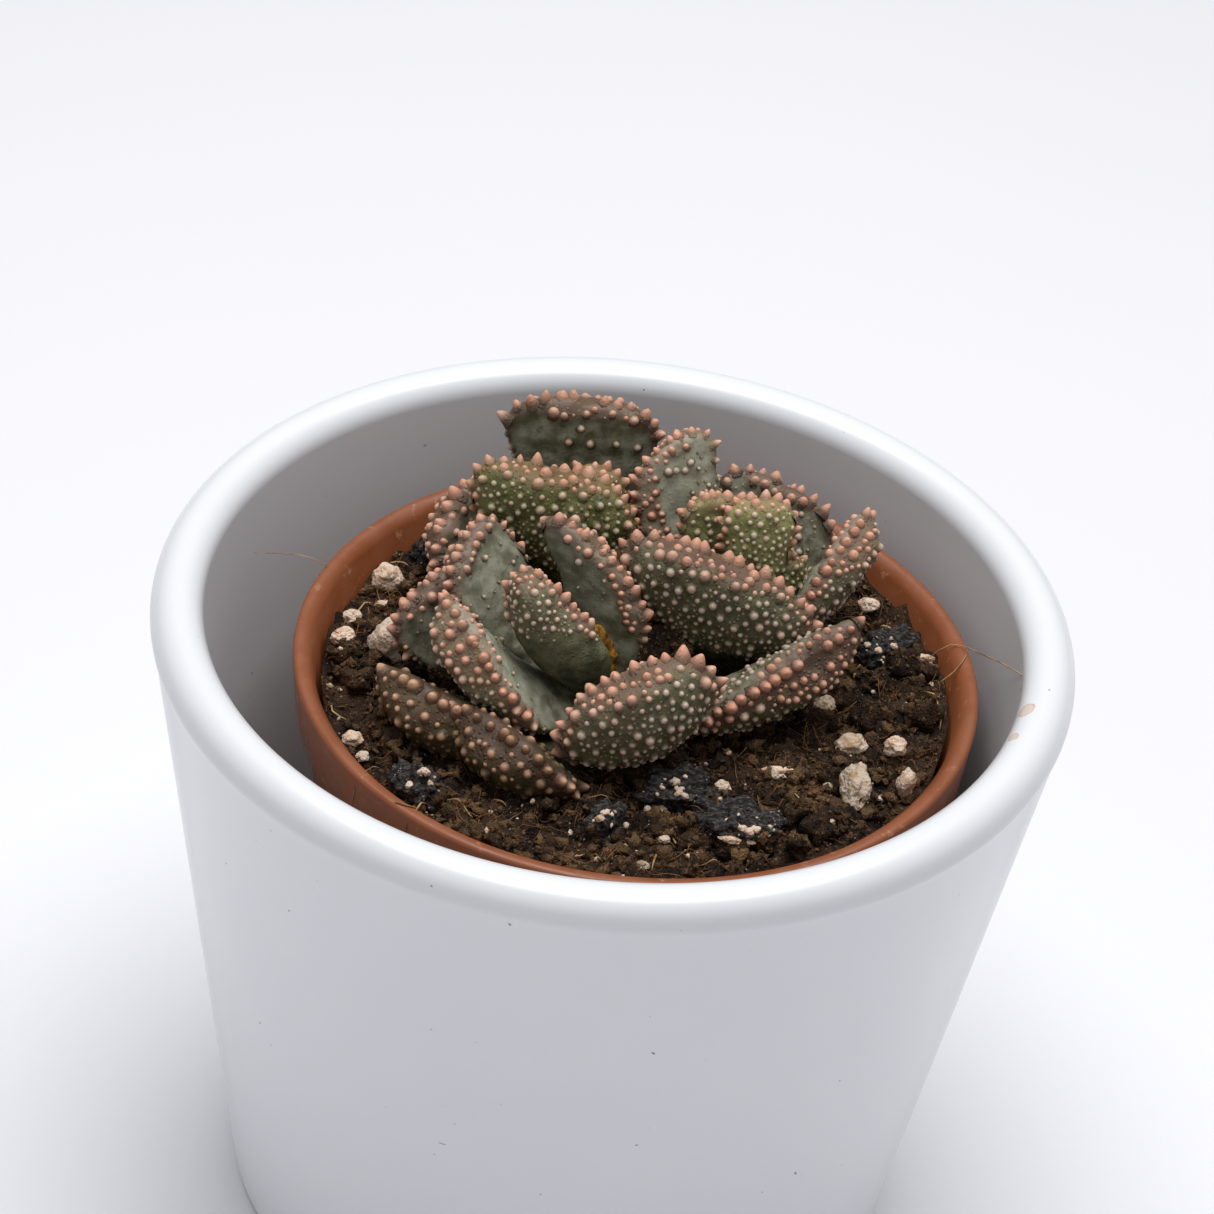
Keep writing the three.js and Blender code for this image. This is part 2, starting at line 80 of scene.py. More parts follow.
# Soil
SOIL_DEPTH = 4
SOIL_TOP = NURSERY_BASE + NURSERY_HEIGHT - SOIL_DEPTH
SOIL_LUMP = 0.55
SOIL_RADIUS = 24.9
SOIL_FOOT_RADIUS = 19
SOIL_BANK = 2.4
SOIL_BANK_START = 0.55
SOIL_BANK_EVEN = 0.7
SOIL_BANK_LEAN = (0.15, 0.25)
SOIL_RINGS = 110
SOIL_STEPS = 230
WALL_SLOPE = (NURSERY_RIM_RADIUS - NURSERY_STEP - NURSERY_FOOT_RADIUS) / NURSERY_HEIGHT

# Noise that the soil's top has beyond the solid's: height, pace, and where it is read.
SOIL_NOISES = ((0.7, 0.45, 3.7), (0.45, 1.3, 8.1), (0.3, 3.1, 1.3))

# Lumps: how many forms there are, the first one's seed, its fineness, roughness and grain.
LUMPS = {
    "clod": (6, 0, 3, 0.62, 3.4),
    "crumb": (8, 20, 2, 0.9, 3),
    "dust": (6, 40, 1, 0.9, 3),
    "grit": (5, 110, 2, 0.5, 3),
    "perlite": (5, 90, 4, 0.34, 1.8),
    "bark": (7, 70, 5, 0.62, 2.8),
}
LUMP_LEAST = 0.35
LUMP_PLACE = (7.3, 3.1, 1.7)
LUMP_NOISES = ((1, 1), (0.6, 2.1), (0.4, 4.3))

# Lumps strewn over the soil: how many, smallest and largest, their form, and the rise in sizes.
STREWN = {
    "soil_clods": (210, (1.4, 4), "clod", 0.06),
    "soil_crumbs": (2000, (0.35, 1.5), "crumb", 0.12),
    "soil_dust": (5600, (0.16, 0.5), "dust", 0.2),
    "grit": (260, (0.14, 0.6), "grit", 0.3),
}
STREWN_SEED = 41
STREWN_MOSTLY_SMALL = 2.2
STREWN_MOSTLY_DARK = 1.5
STREWN_SPILL = 0.2
STREWN_WIDTH = (0.55, 1)
STREWN_HEIGHT = (0.45, 0.9)
STREWN_AXIS_RISE = 0.5
STREWN_ROOM = 0.35
LEAF_SEARCH = 6

# Strands strewn over the soil: how many, lengths, radii, most bend, most lift, and seed.
STRANDS = {
    "peat_fibres": (1100, (1, 4.5), (0.02, 0.045), 1.3, 0.6, 77),
    "pale_straws": (60, (1.5, 5), (0.05, 0.11), 0.25, 0.4, 78),
}
STRAND_MOSTLY_SHORT = 1.6
STRAND_POINTS = 8
STRAND_WANDER = 0.2
STRAND_RISE = 0.12
STRAND_LEAST_LIFT = 0.05
STRAND_START_ROOM = 1
STRAND_WALL_ROOM = 0.2
STRAND_LEAF_ROOM = 0.1
STRAND_RINGS = 12
STRAND_SIDES = 4
STRAND_THIN = 0.45
STRAND_SWELL = 0.55
STRAND_ASIDE = Vector((0.3, 0.2, 1))

# Loose hairs that cling to the pots: how thick, and the places that each runs through.
HAIRS = [
    (0.05, [(25.4, 7.4, 50.6), (27, 8, 52.2), (28.4, 7.4, 52.6), (29.7, 5.8, 53.2), (31.2, 3.4, 54.3),
            (32.5, -0.7, 56.4), (33.4, -3.1, 57.7), (34.3, -5, 58.45)]),
    (0.04, [(34.3, -5, 58.45), (33.2, -3.9, 57.8), (32.3, -2.2, 56.1)]),
    (0.07, [(26.6, 3.7, 51.5), (27.6, 4.4, 52.1), (28.3, 5.6, 52.42), (28.6, 6.6, 52.42)]),
    (0.04, [(-22.3, 8.2, 50.7), (-23.9, 8.9, 52.42), (-24.8, 8.9, 52.9), (-26, 8.9, 53.2),
            (-27.8, 9.5, 52.7), (-30, 10, 52.1)]),
    (0.06, [(-16.9, -12.6, 49.3), (-17.3, -15.2, 51.6), (-17.9, -17, 52.36), (-18.5, -17.4, 51.4),
            (-18.68, -16.9, 48.9)]),
    (0.09, [(-12.9, -16.4, 49.4), (-13.2, -19.3, 51.9), (-13.5, -20.9, 52.38), (-14.16, -21.4, 51.5),
            (-14.15, -21.4, 50.2)]),
    (0.08, [(-13.5, -20.6, 52.38), (-14.4, -20.4, 52.38), (-15.2, -20.2, 52.38)]),
    (0.09, [(15.4, -10.9, 50.1), (16.6, -12.8, 50.2), (17.9, -14.6, 50.1)]),
]

# Dried drips on the cover pot's lip: place and half width.
DRIPS = [((32.5, -7.2, 57.9), 0.75), ((31.4, -10.8, 57.9), 0.5)]

# Leaves
LEAF_NECK = 5
LEAF_NECK_OF_WIDTH = 0.55
LEAF_KEEL = 1.25
LEAF_FACE_SHARE = 0.28
LEAF_CAP_START = 0.82
LEAF_SPOON_START = 0.05
LEAF_SPOON_END = 0.08
SKIN_AROUND = 64
SKIN_ALONG = 64
SKIN_EASE = 1.15

# The form of each leaf: its base, its tip, the line across its end, shoulder, bow, thickness and
# bluntness. Its look: slot, age, how pale it is, how warty its face and its back are, the share of
# its length where the teeth begin on its first and on its second side, size of the warts, and seed.
LEAVES = {
    "front_head_leaf_near": (
        ((2, -3, 50), (1.4, -8, 57.5), (10.7, 2.8, 6), 4.4, 4.4, 4.6, 2.9),
        ("grown", "grown", 0.5, 0.1, 1, 0.5, 0.5, 1.15, 11)),
    "front_head_leaf_left": (
        ((-1, -3, 50), (-11.3, -6.2, 58.5), (6.6, -6, -5.2), 4.5, 3.2, 3.8, 2.8),
        ("grown", "grown", 1, 0.02, 1, 0.64, 0.64, 0.95, 12)),
    "front_head_leaf_young": (
        ((-0.9, -2.2, 51), (-7.4, -1.5, 61.5), (7.4, -1.3, 0.6), 7.6, 1.2, 3.2, 1.6),
        ("young", "grown", 0.6, 0.3, 1, 0.62, 0.6, 0.9, 13)),
    "front_head_leaf_far": (
        ((0, 0.5, 50.5), (-2.7, 3.7, 61.1), (-8.1, 2.8, 5), 3.5, 1, 2.8, 3),
        ("grown", "grown", 0.45, 0.01, 0.4, 0.82, 0.58, 1, 14)),
    "front_head_leaf_right": (
        ((3, -2.5, 50), (15.7, -1, 56.2), (9.3, 6.2, 4.9), 4, 1.8, 4.4, 3.6),
        ("grown", "grown", 0, 0.6, 1, 0.62, 0.62, 0.98, 19)),
    "front_head_leaf_back_left": (
        ((-3, 1, 50), (-12.5, 3.5, 60), (-2.5, -7, -3), 3.5, 1, 3, 3),
        ("grown", "grown", 0.3, 0.02, 0.6, 0.72, 0.6, 1, 15)),
    "front_head_leaf_outer_left": (
        ((-4, -1.5, 49.5), (-15.5, 0.5, 57), (-5.5, -4.5, -5), 3.5, 2, 2.8, 3),
        ("grown", "grown", 0.15, 0.02, 0.3, 0.78, 0.78, 1, 16)),
    "front_head_leaf_low_left": (
        ((-3, -3, 49.5), (-14.5, -8.2, 53.9), (8.9, -4.3, -1.5), 4, 5, 4.2, 2.8),
        ("old", "old", 0.45, 0.8, 0.75, 0.5, 0.5, 1.12, 17)),
    "front_head_leaf_low_near": (
        ((-1.5, -4, 49.5), (-8.1, -11.6, 53.4), (9.4, -6.2, -1.4), 4, 5, 4.2, 2.8),
        ("old", "old", 0.1, 0.8, 0.75, 0.5, 0.5, 1.12, 18)),
    "front_head_leaf_dried": (
        ((0.6, -0.9, 51), (-1.8, -0.8, 56.6), (2.2, 1, -0.3), 2, -0.6, 1.1, 2),
        ("dried", "dried", 0, 0, 0, 1, 1, 1, 20)),
    "right_head_leaf_near": (
        ((9.5, 6.5, 50), (7.3, 4.8, 60.4), (16.5, -2, -4), 4.5, 2.5, 4, 2.8),
        ("grown", "grown", 0.15, 0.1, 1, 0.62, 0.62, 1.1, 21)),
    "right_head_leaf_right": (
        ((12, 8, 50), (18, 10, 60), (4.5, 8, 3), 4, 1, 3.2, 2.6),
        ("grown", "grown", 0.55, 0.03, 1, 0.58, 0.58, 1, 22)),
    "right_head_leaf_far": (
        ((11, 10.5, 50), (12.5, 18.5, 58.5), (-9.5, 2, 3), 4, 1, 3, 3),
        ("grown", "grown", 0, 0.04, 0.6, 0.8, 0.84, 1.1, 23)),
    "right_head_leaf_left": (
        ((7.5, 10.5, 50.5), (2.7, 15.6, 63.2), (-5.5, -2.8, -4.6), 4, 1, 3, 2.6),
        ("grown", "grown", 1, 0.04, 0.9, 0.5, 0.84, 0.95, 24)),
    "right_head_leaf_young_near": (
        ((11, 8.5, 52), (10.5, 11, 62), (5.5, 1, 0), 3, 0.6, 2.2, 3),
        ("young", "young", 1, 0.4, 1, 0.55, 0.55, 0.95, 26)),
    "right_head_leaf_young_far": (
        ((9.5, 9.5, 52), (7.2, 12, 61), (-6, -2, 0), 3, 0.6, 2, 3),
        ("young", "young", 0.7, 0.6, 1, 0.55, 0.55, 0.95, 27)),
    "right_head_leaf_inner": (
        ((12, 9.5, 51), (13.2, 11, 56.8), (3.6, 2, 0), 3, 0.5, 2.2, 2.4),
        ("young", "young", 0, 0.4, 1, 0.55, 0.55, 0.9, 28)),
    "back_head_leaf_near": (
        ((-4.5, 12, 50), (-6.6, 12, 62.1), (13, 0.5, -2), 4, 2, 3.6, 3.2),
        ("grown", "young", 0.1, 0.1, 1, 0.6, 0.6, 1.1, 31)),
    "back_head_leaf_young": (
        ((-3.5, 14.5, 52), (-2.4, 15, 60.6), (5, 0, -1), 3, 0.4, 2.2, 2.4),
        ("young", "young", 0.4, 0.4, 1, 0.55, 0.55, 0.95, 32)),
    "back_head_leaf_far": (
        ((-4, 16, 50), (-4.3, 20, 63.5), (-12.3, -1, 0.5), 3, 1, 3, 3),
        ("grown", "grown", 0.1, 0, 0.5, 0.84, 0.84, 1.1, 33)),
    "back_head_leaf_left": (
        ((-6, 13.5, 50), (-14.5, 10, 57.5), (-2, -7, -4), 3.5, 1, 3, 3),
        ("old", "grown", 0.2, 0.2, 0.8, 0.6, 0.6, 1.15, 34)),
}

# Share of the length where the backs' warts begin, and the leaves on which they begin further up.
BACK_WARTS_FROM = 0.37
BACK_WARTS_FADE = 0.18
SMOOTH_BACKS = {"front_head_leaf_young": 0.6, "front_head_leaf_left": 0.46}

# Faces with a broad warty band along one side: which side, and how far out across the leaf it starts.
FACE_BANDS = {"front_head_leaf_far": (-1, 0.42), "right_head_leaf_left": (1, 0.4)}
FACE_BAND_FADE = 0.2
FACE_EDGE = (-0.1, 0.1)

# The thick warty rim: how far out it starts and is full, across the leaf and along it, and how
# flushed it is on a dark and on a pale leaf.
RIM_ACROSS = (0.84, 0.99)
RIM_END = (0.89, 0.985)
RIM_FADE = 0.1
RIM_FLUSH = (0.85, 0.4)
RIM_FLUSH_EASE = 1.8

# Uneven skin: height and pace of each wave, where it is read, and where the skin is calm.
LEAF_WAVES = ((0.24, 0.42), (0.1, 1.1), (0.035, 2.8))
WAVE_START = Vector((3.1, 7.7, 1.9))
CALM_ROOT = 0.15
CALM_END = 0.96
NORMAL_SHARES = (0.002, 0.9985)
NORMAL_STEP = 1e-3
TINY = 1e-12

# Warts along the rim stand like teeth, one row of them.
TOOTH_PITCH = 1.05
TOOTH_RADIUS = (0.37, 0.57)
TOOTH_HEIGHT = 1.65
TOOTH_START = 0.3
TOOTH_SHIFT = 0.16
TOOTH_TURN = 0.02
TOOTH_STEPS = 160
LAST_TOOTH = 0.9996

# The other warts are strewn in rounds, the large ones first: tries, radius from and to, how far
# apart, and height in radii.
WART_ROUNDS = {
    "rim": (2800, 0.26, 0.5, 0.84, 1.25),
    "back": (2400, 0.21, 0.42, 1.04, 1),
    "fine": (3200, 0.12, 0.21, 0.92, 0.95),
}
WART_TINT = {"tooth": 1, "rim": 0.95, "back": 0.86, "fine": 0.62}
WART_FORMS = {
    "tooth": (((1.5, -0.3), (1.1, 0.1), (0.82, 0.42), (0.52, 0.74), (0.22, 0.95), (0, 1)), 8),
    "rim": (((1.4, -0.3), (1.05, 0.1), (0.78, 0.48), (0.42, 0.84), (0, 1)), 8),
    "back": (((1.35, -0.3), (0.95, 0.25), (0.62, 0.76), (0, 1)), 7),
    "fine": (((1.3, -0.3), (0.72, 0.6), (0, 1)), 5),
}

# Where those warts grow, how much smaller they are near the root, and how each one stands.
WART_SHARES = (0.3, 0.995)
WART_ON_FACE = 0.15
FACE_WARTS_SHARES = (0.5, 0.7)
RIM_WARTS_FROM = (0.6, 0.3)
BAND_WARTS = 0.8
ROOT_WARTS = 0.7
ROOT_SHARES = (0.35, 0.8)
WART_LEAN = 0.3
WART_TILT = 0.16
WART_SIZE = (0.92, 1.1)
WART_WIDTH = (0.88, 1.1)
WART_RISE = (0.8, 1.15)
WART_SEAT = 0.7
WART_SPIN = 3
WART_BLUSH = (0.1, 0.9)
WART_BLUSH_SHIFT = (-0.2, 0.15)
OLD_WART_HEIGHT = 0.75

# Round each wart the skin swells and takes a little of the wart's colour.
SWELL = 0.45
SWELL_REACH = 1.5
HALO = 0.17
HALO_REACH = 1.9
HALO_MOST = 1.3
HALO_AT_ROOT = 0.7

# Values that the leaves' material reads, and where a skin turns into face and where it grows pale.
LEAF_VALUES = ("wart", "blush", "band", "face", "pale")
FACE_FADE = (0.05, 0.35)
# The skin pales along the leaf and stays darker at the root: partly the neck's own darker green, partly
# painted shade deep in the rosette.
PALE_SHARES = (0.2, 0.75)

# Noise that crumples the dried leaf
CRUMPLE = 0.35
CRUMPLE_PACE = 0.9
CRUMPLE_SHIFTS = (Vector((1.3, 4.1, 7.9)), Vector((9.2, 2.6, 5.3)), Vector((6.7, 8.8, 0.4)))

# A few warts that stand alone on a smooth face: share of the length, and share of a turn round it.
LONE_WART = 0.36
LONE_WARTS = {
    "back_head_leaf_far": ((0.874, 0.241), (0.783, 0.217), (0.778, 0.264), (0.792, 0.323),
                           (0.781, 0.381)),
    "right_head_leaf_left": ((0.872, 0.256), (0.836, 0.29), (0.899, 0.223), (0.856, 0.32)),
}

# Perlite: place, and size across, along and upwards. The last is how far it stands off the soil.
PERLITE = [
    (20.1, -9.3, 1.9, 3.9, 2.5, 0), (19.8, -3.1, 2.1, 1.6, 1.2, 0), (23.1, -4.4, 1.5, 1.4, 1.5, 0),
    (17.5, 1.9, 1.6, 1.4, 1.2, 0), (24.1, -8.5, 1.2, 2, 1.9, 0), (14.2, -7.4, 2.2, 1, 0.9, 0),
    (9.8, -9.4, 1.2, 1, 1, 0), (18, -8.7, 0.7, 0.6, 0.6, 0), (22.3, -10.2, 0.6, 0.5, 0.4, 0),
    (25.2, 7, 1.6, 0.8, 1, 0), (20.7, 14, 1.4, 1.2, 1, 0), (-18.9, 10.9, 2.1, 1.8, 1.9, 0),
    (-21.3, 5.4, 1.3, 1.2, 0.9, 0), (-21.7, 2.7, 1.7, 1.3, 1.1, 0), (-17.5, 2.1, 3.3, 3, 2.8, 0),
    (-19, 8.3, 1.1, 1, 0.9, 0), (-19.5, -9.1, 1.4, 1.1, 0.9, 0), (-18.5, -11.8, 0.9, 0.8, 0.6, 0),
    (-14.6, -9.7, 0.7, 0.7, 0.6, 0), (-6.3, -17.4, 0.8, 0.6, 0.5, 0), (4.1, -21.3, 0.8, 0.7, 0.7, 0),
    (6.4, -10.4, 0.7, 0.5, 0.4, 0.9), (5.2, -12.6, 0.8, 0.6, 0.5, 0.5), (5.6, -17.2, 0.8, 0.6, 0.5, 0),
    (10.6, -17.9, 1.5, 0.6, 0.4, 0.5), (12, -17.7, 0.9, 0.4, 0.3, 0.7), (7.6, -9.6, 0.4, 0.4, 0.3, 1),
]
PERLITE_SEED = 61
PERLITE_FULLNESS = (1.15, 1.15, 1.2)
PERLITE_RISE = 0.25
PERLITE_SINK = 0.1
PERLITE_ROLL = (-0.25, 0.25)
PERLITE_PITCH = (0.1, 0.5)

# Bark: place, length, width and bearing.
BARK = [
    (6.5, -10.8, 4.8, 3.4, 20), (11.6, -16, 5.4, 3.2, 10), (22.5, 9, 4.5, 3, 60),
    (-14, -15, 3.5, 2.2, -30), (-15, 15, 3.5, 2.4, 40), (15, 18, 4, 2.6, -20), (1, -17, 3.2, 2.2, 70),
]
BARK_FULLNESS = (1.1, 1.2)
BARK_THICKNESS = 3.4
BARK_RISE = 0.6

# Grit on each bark chip: grains, their sizes, and where their patch lies and how far it spreads,
# in shares of the chip's length and width.
GRIT_ON_BARK = 16
GRIT_ON_BARK_SEED = 87
GRIT_ON_BARK_SIZE = (0.2, 0.9)
GRIT_PATCH = (0.3, -0.28)
GRIT_SPREAD = (0.18, 0.14)
GRIT_WIDTH = (0.6, 1)
GRIT_HEIGHT = 0.7
GRIT_TONE = 0.3

# Shades of each age of leaf, dark and pale or plain and flushed: the skin of its back, its face and
# its rim, its warts' roots and caps, and the height on a wart where the cap's colour begins.
LEAF_SHADES = {
    "grown": {
        "back": ((47, 50, 31), (136, 132, 100)),
        "face": ((78, 75, 54), (180, 180, 160)),
        "band": ((74, 50, 42), (164, 128, 114)),
        "root": ((112, 102, 78), (142, 104, 82)),
        "wart": ((212, 194, 176), (226, 164, 136)),
        "cap_from": 0.28,
    },
    "young": {
        "back": ((54, 60, 20), (166, 166, 106)),
        "face": ((92, 98, 46), (172, 170, 118)),
        "band": ((98, 74, 44), (172, 142, 112)),
        "root": ((124, 122, 78), (150, 114, 84)),
        "wart": ((214, 198, 176), (224, 162, 136)),
        "cap_from": 0.28,
    },
    "old": {
        "back": ((40, 40, 20), (98, 90, 50)),
        "face": ((48, 46, 30), (88, 78, 58)),
        "band": ((62, 42, 32), (116, 82, 64)),
        "root": ((78, 64, 40), (104, 74, 56)),
        "wart": ((134, 112, 80), (208, 164, 130)),
        "cap_from": 0.42,
    },
}

# Stage: half its width, the room's own light, and each lamp's place, aim, width and power.
FLOOR_REACH = 3000
ROOM_COLOUR = (0.93, 0.97, 1, 1)
ROOM_STRENGTH = 0.245
LAMPS = {
    "soft_above": ((10, 80, 570), (0, 10, 40), 500, 3.15),
    "soft_front": ((-150, -420, 330), (0, 0, 30), 500, 0.15),
}

# Camera of the photo
FOCAL_PIXELS = 4300
FRAME_PIXELS = 1214
SENSOR = 36
CAMERA_DISTANCE = 340
CAMERA_ELEVATION = math.radians(36.5)
CAMERA_ROLL = math.radians(6.37)
CAMERA_AIM = Vector((-0.79, 0, 58))
CAMERA_NEAR = 0.01


# Shaping helpers

def lerp(low, high, share):
    return low + (high - low) * share


def smooth(value, low, high):
    share = np.clip((np.asarray(value, float) - low) / (high - low), 0, 1)
    return share * share * (3 - 2 * share)


def arc(centre, size, start, end, steps):
    """Points of an arc in the outline plane, from one angle to another in degrees."""
    angles = [math.radians(lerp(start, end, i / steps)) for i in range(steps + 1)]
    return [(centre[0] + size * math.cos(a), centre[1] + size * math.sin(a)) for a in angles]


def join_rings(bm, rings):
    """Lays faces between rings of as many verts each. A ring of one vert is a point."""
    for low, high in zip(rings, rings[1:]):
        count = max(len(low), len(high))
        for i in range(count):
            after = (i + 1) % count
            corners = [low[i % len(low)], low[after % len(low)]]
            corners += [high[after % len(high)], high[i % len(high)]]
            bm.faces.new(list(dict.fromkeys(corners)))


def lathe(outline, steps):
    """Turns a line of (radius, height) points about the Z axis into a skin."""
    bm = bmesh.new()
    rings = []
    for radius, height in outline:
        angles = [FULL_TURN * i / steps for i in range(steps)] if radius else [0]
        ring = [(radius * math.cos(a), radius * math.sin(a), height) for a in angles]
        rings.append([bm.verts.new(place) for place in ring])
    join_rings(bm, rings)
    return bm


def mesh_of(bm, name):
    mesh = bpy.data.meshes.new(name)
    bm.to_mesh(mesh)
    bm.free()
    return mesh


def placed(name, data):
    """A new object in the scene."""
    made = bpy.data.objects.new(name, data)
    scene.collection.objects.link(made)
    return made


def in_metres(bm, name):
    mesh = mesh_of(bm, name)
    mesh.transform(Matrix.Scale(MM, 4))
    return mesh


def add_copy(bm, template, place, turn, size, **values):
    """Adds a scaled and turned copy of a small mesh, with its own value of each named kind."""
    copy = template.copy()
    copy.transform(Matrix.Translation(place) @ turn @ Matrix.Diagonal((*size, 1)))
    for key, value in values.items():
        copy.attributes[key].data.foreach_set("value", [value] * len(copy.vertices))
    bm.from_mesh(copy)
    bpy.data.meshes.remove(copy)


def finished(name, bm, material, node=None):
    """Makes a bmesh in millimetres a smooth piece in metres that rides on the one body."""
    mesh = in_metres(bm, name)
    mesh.polygons.foreach_set("use_smooth", [True] * len(mesh.polygons))
    mesh.materials.append(material)
    piece = placed(name, mesh)
    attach(piece, "root")
    if node:
        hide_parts(node)
    return piece


def turned_to(direction, spin=0.0):
    """The turn that lays the Z axis along a direction."""
    quaternion = Vector(direction).to_track_quat("Z", "Y")
    return quaternion.to_matrix().to_4x4() @ Matrix.Rotation(spin, 4, "Z")


def lump(seed, fineness, rough, grain):
    """A small irregular lump about one millimetre across, with a tone of its own."""
    bm = bmesh.new()
    bmesh.ops.create_icosphere(bm, subdivisions=fineness, radius=0.5)
    offset = Vector([seed * step for step in LUMP_PLACE])
    for vert in bm.verts:
        place = vert.co * grain + offset
        swell = sum(height * noise.noise(place * pace) for height, pace in LUMP_NOISES)
        vert.co *= max(LUMP_LEAST, 1 + rough * swell)
    bm.verts.layers.float.new("tone")
    return mesh_of(bm, "lump")


def lumps(kind):
    """Every form of one kind of lump."""
    count, first, fineness, rough, grain = LUMPS[kind]
    return [lump(first + i, fineness, rough, grain) for i in range(count)]


# Material helpers

def srgb(red, green, blue):
    """A colour as a picture gives it, from 0 to 255, for a shader."""
    def linear(value):
        value /= 255
        return value / 12.92 if value <= 0.04045 else ((value + 0.055) / 1.055) ** 2.4
    return (linear(red), linear(green), linear(blue), 1)


class Finish:
    """One material, built up from a few kinds of node."""

    def __init__(self, name, roughness, specular=0.5):
        self.material = bpy.data.materials.new(name)
        self.material.use_nodes = True
        self.tree = self.material.node_tree
        self.shader = self.tree.nodes["Principled BSDF"]
        self.give("Roughness", roughness)
        self.give("Specular IOR Level", specular)
        self.place = self.node("ShaderNodeTexCoord", {}, "Object")

    def node(self, kind, values, out, **settings):
        """One output of a new node, whose inputs are given values or other nodes' outputs."""
        made = self.tree.nodes.new(kind)
        for key, value in settings.items():
            setattr(made, key, value)
        for key, value in values.items():
            self.feed(value, made.inputs[key])
        return made.outputs[out]

    def feed(self, value, socket):
        if isinstance(value, bpy.types.NodeSocket):
            self.tree.links.new(value, socket)
        else:
            socket.default_value = value

    def attribute(self, name):
        return self.node("ShaderNodeAttribute", {}, "Fac", attribute_name=name)

    def clouds(self, size, detail=3.0, roughness=0.55, stretch=None):
        """Soft noise whose patches are about that many millimetres across."""
        place = self.place
        if stretch:
            place = self.node("ShaderNodeMapping", {"Vector": place, "Scale": stretch}, "Vector")
        values = {"Vector": place, "Scale": 1 / (size * MM), "Detail": detail, "Roughness": roughness}
        return self.node("ShaderNodeTexNoise", values, "Fac")

    def cells(self, size):
        """Distance from the middle of cells that are about that many millimetres across."""
        values = {"Vector": self.place, "Scale": 1 / (size * MM)}
        return self.node("ShaderNodeTexVoronoi", values, "Distance")

    def near(self, place, reach):
        """A round patch with an uneven edge, 1 within it and 0 outside."""
        ends = {0: self.place, 1: Vector(place) * MM}
        away = self.node("ShaderNodeVectorMath", ends, "Value", operation="DISTANCE")
        edge = self.plus(away, self.times(self.clouds(0.9, 2), reach * MM))
        return self.ranged(edge, 1.35 * reach * MM, 1.5 * reach * MM, 1, 0)

    def ranged(self, value, low, high, start=0.0, end=1.0):
        values = {"Value": value, "From Min": low, "From Max": high, "To Min": start, "To Max": end}
        return self.node("ShaderNodeMapRange", values, "Result", interpolation_type="SMOOTHSTEP")

    def times(self, first, second):
        return self.node("ShaderNodeMath", {0: first, 1: second}, "Value", operation="MULTIPLY")

    def plus(self, first, second):
        return self.node("ShaderNodeMath", {0: first, 1: second}, "Value", operation="ADD")

    def mix(self, share, first, second):
        """Blends two colours. The node's colours are its inputs 6 and 7 and its output 2."""
        values = {"Factor": share, 6: first, 7: second}
        return self.node("ShaderNodeMix", values, 2, data_type="RGBA")

    def give(self, key, value):
        self.feed(value, self.shader.inputs[key])

    def colour(self, value):
        self.give("Base Color", value)

    def bump(self, height, depth, strength=1.0):
        """Relief whose full height is that many millimetres."""
        values = {"Strength": strength, "Distance": depth * MM, "Height": height}
        self.give("Normal", self.node("ShaderNodeBump", values, "Normal"))
        return self.material


# Materials

def white_glaze():
    finish = Finish("white_glaze", 0.3)
    finish.give("Coat Weight", 0.35)
    finish.give("Coat Roughness", 0.16)
    tone = finish.mix(finish.clouds(14), srgb(234, 236, 240), srgb(240, 241, 244))
    pinholes = finish.ranged(finish.clouds(0.55, 0), 0.84, 0.88)
    patches = finish.ranged(finish.clouds(9, 2), 0.52, 0.62)
    tone = finish.mix(finish.times(pinholes, patches), tone, srgb(120, 112, 104))
    for place, reach in DRIPS:
        tone = finish.mix(finish.near(place, reach * 1.12), tone, srgb(206, 168, 140))
        tone = finish.mix(finish.near(place, reach), tone, srgb(226, 212, 198))
    finish.colour(tone)
    return finish.bump(finish.clouds(16, 2), 0.05, 0.4)


def terracotta_plastic():
    finish = Finish("terracotta_plastic", 0.42)
    # The pot's own terracotta, made a little darker all over as painted shade for the wall that stands
    # in the cover pot's shadow.
    tone = finish.mix(finish.clouds(5), srgb(126, 68, 38), srgb(152, 88, 52))
    scuffs = finish.ranged(finish.clouds(1.3, 4, 0.7), 0.6, 0.74)
    tone = finish.mix(finish.times(scuffs, 0.55), tone, srgb(206, 152, 120))
    finish.colour(tone)
    finish.give("Roughness", finish.ranged(finish.clouds(2.5), 0.3, 0.7, 0.32, 0.55))
    return finish.bump(finish.clouds(0.5), 0.03, 0.5)


def peat(name, dark, warm):
    finish = Finish(name, 0.95, 0.2)
    patches = finish.ranged(finish.clouds(4.5, 4), 0.4, 0.62)
    grains = finish.ranged(finish.clouds(0.7, 4, 0.7), 0.38, 0.66)
    share = finish.plus(finish.times(patches, 0.45), finish.times(grains, 0.35))
    share = finish.plus(share, finish.times(finish.attribute("tone"), 0.5))
    tone = finish.mix(share, dark, warm)
    threads = finish.ranged(finish.clouds(0.32, 3, 0.6, (1, 0.3, 0.6)), 0.6, 0.7)
    tone = finish.mix(finish.times(threads, 0.75), tone, srgb(138, 92, 50))
    grit = finish.ranged(finish.clouds(0.22, 1), 0.73, 0.78)
    finish.colour(finish.mix(grit, tone, srgb(176, 158, 132)))
    relief = finish.plus(finish.clouds(0.5, 4, 0.75), finish.times(finish.cells(0.2), 0.5))
    return finish.bump(relief, 0.32)


def fibre_finish(name, dark, pale):
    finish = Finish(name, 0.8, 0.3)
    finish.colour(finish.mix(finish.ranged(finish.clouds(2.2, 2), 0.35, 0.65), dark, pale))
    return finish.bump(finish.clouds(0.12), 0.02)


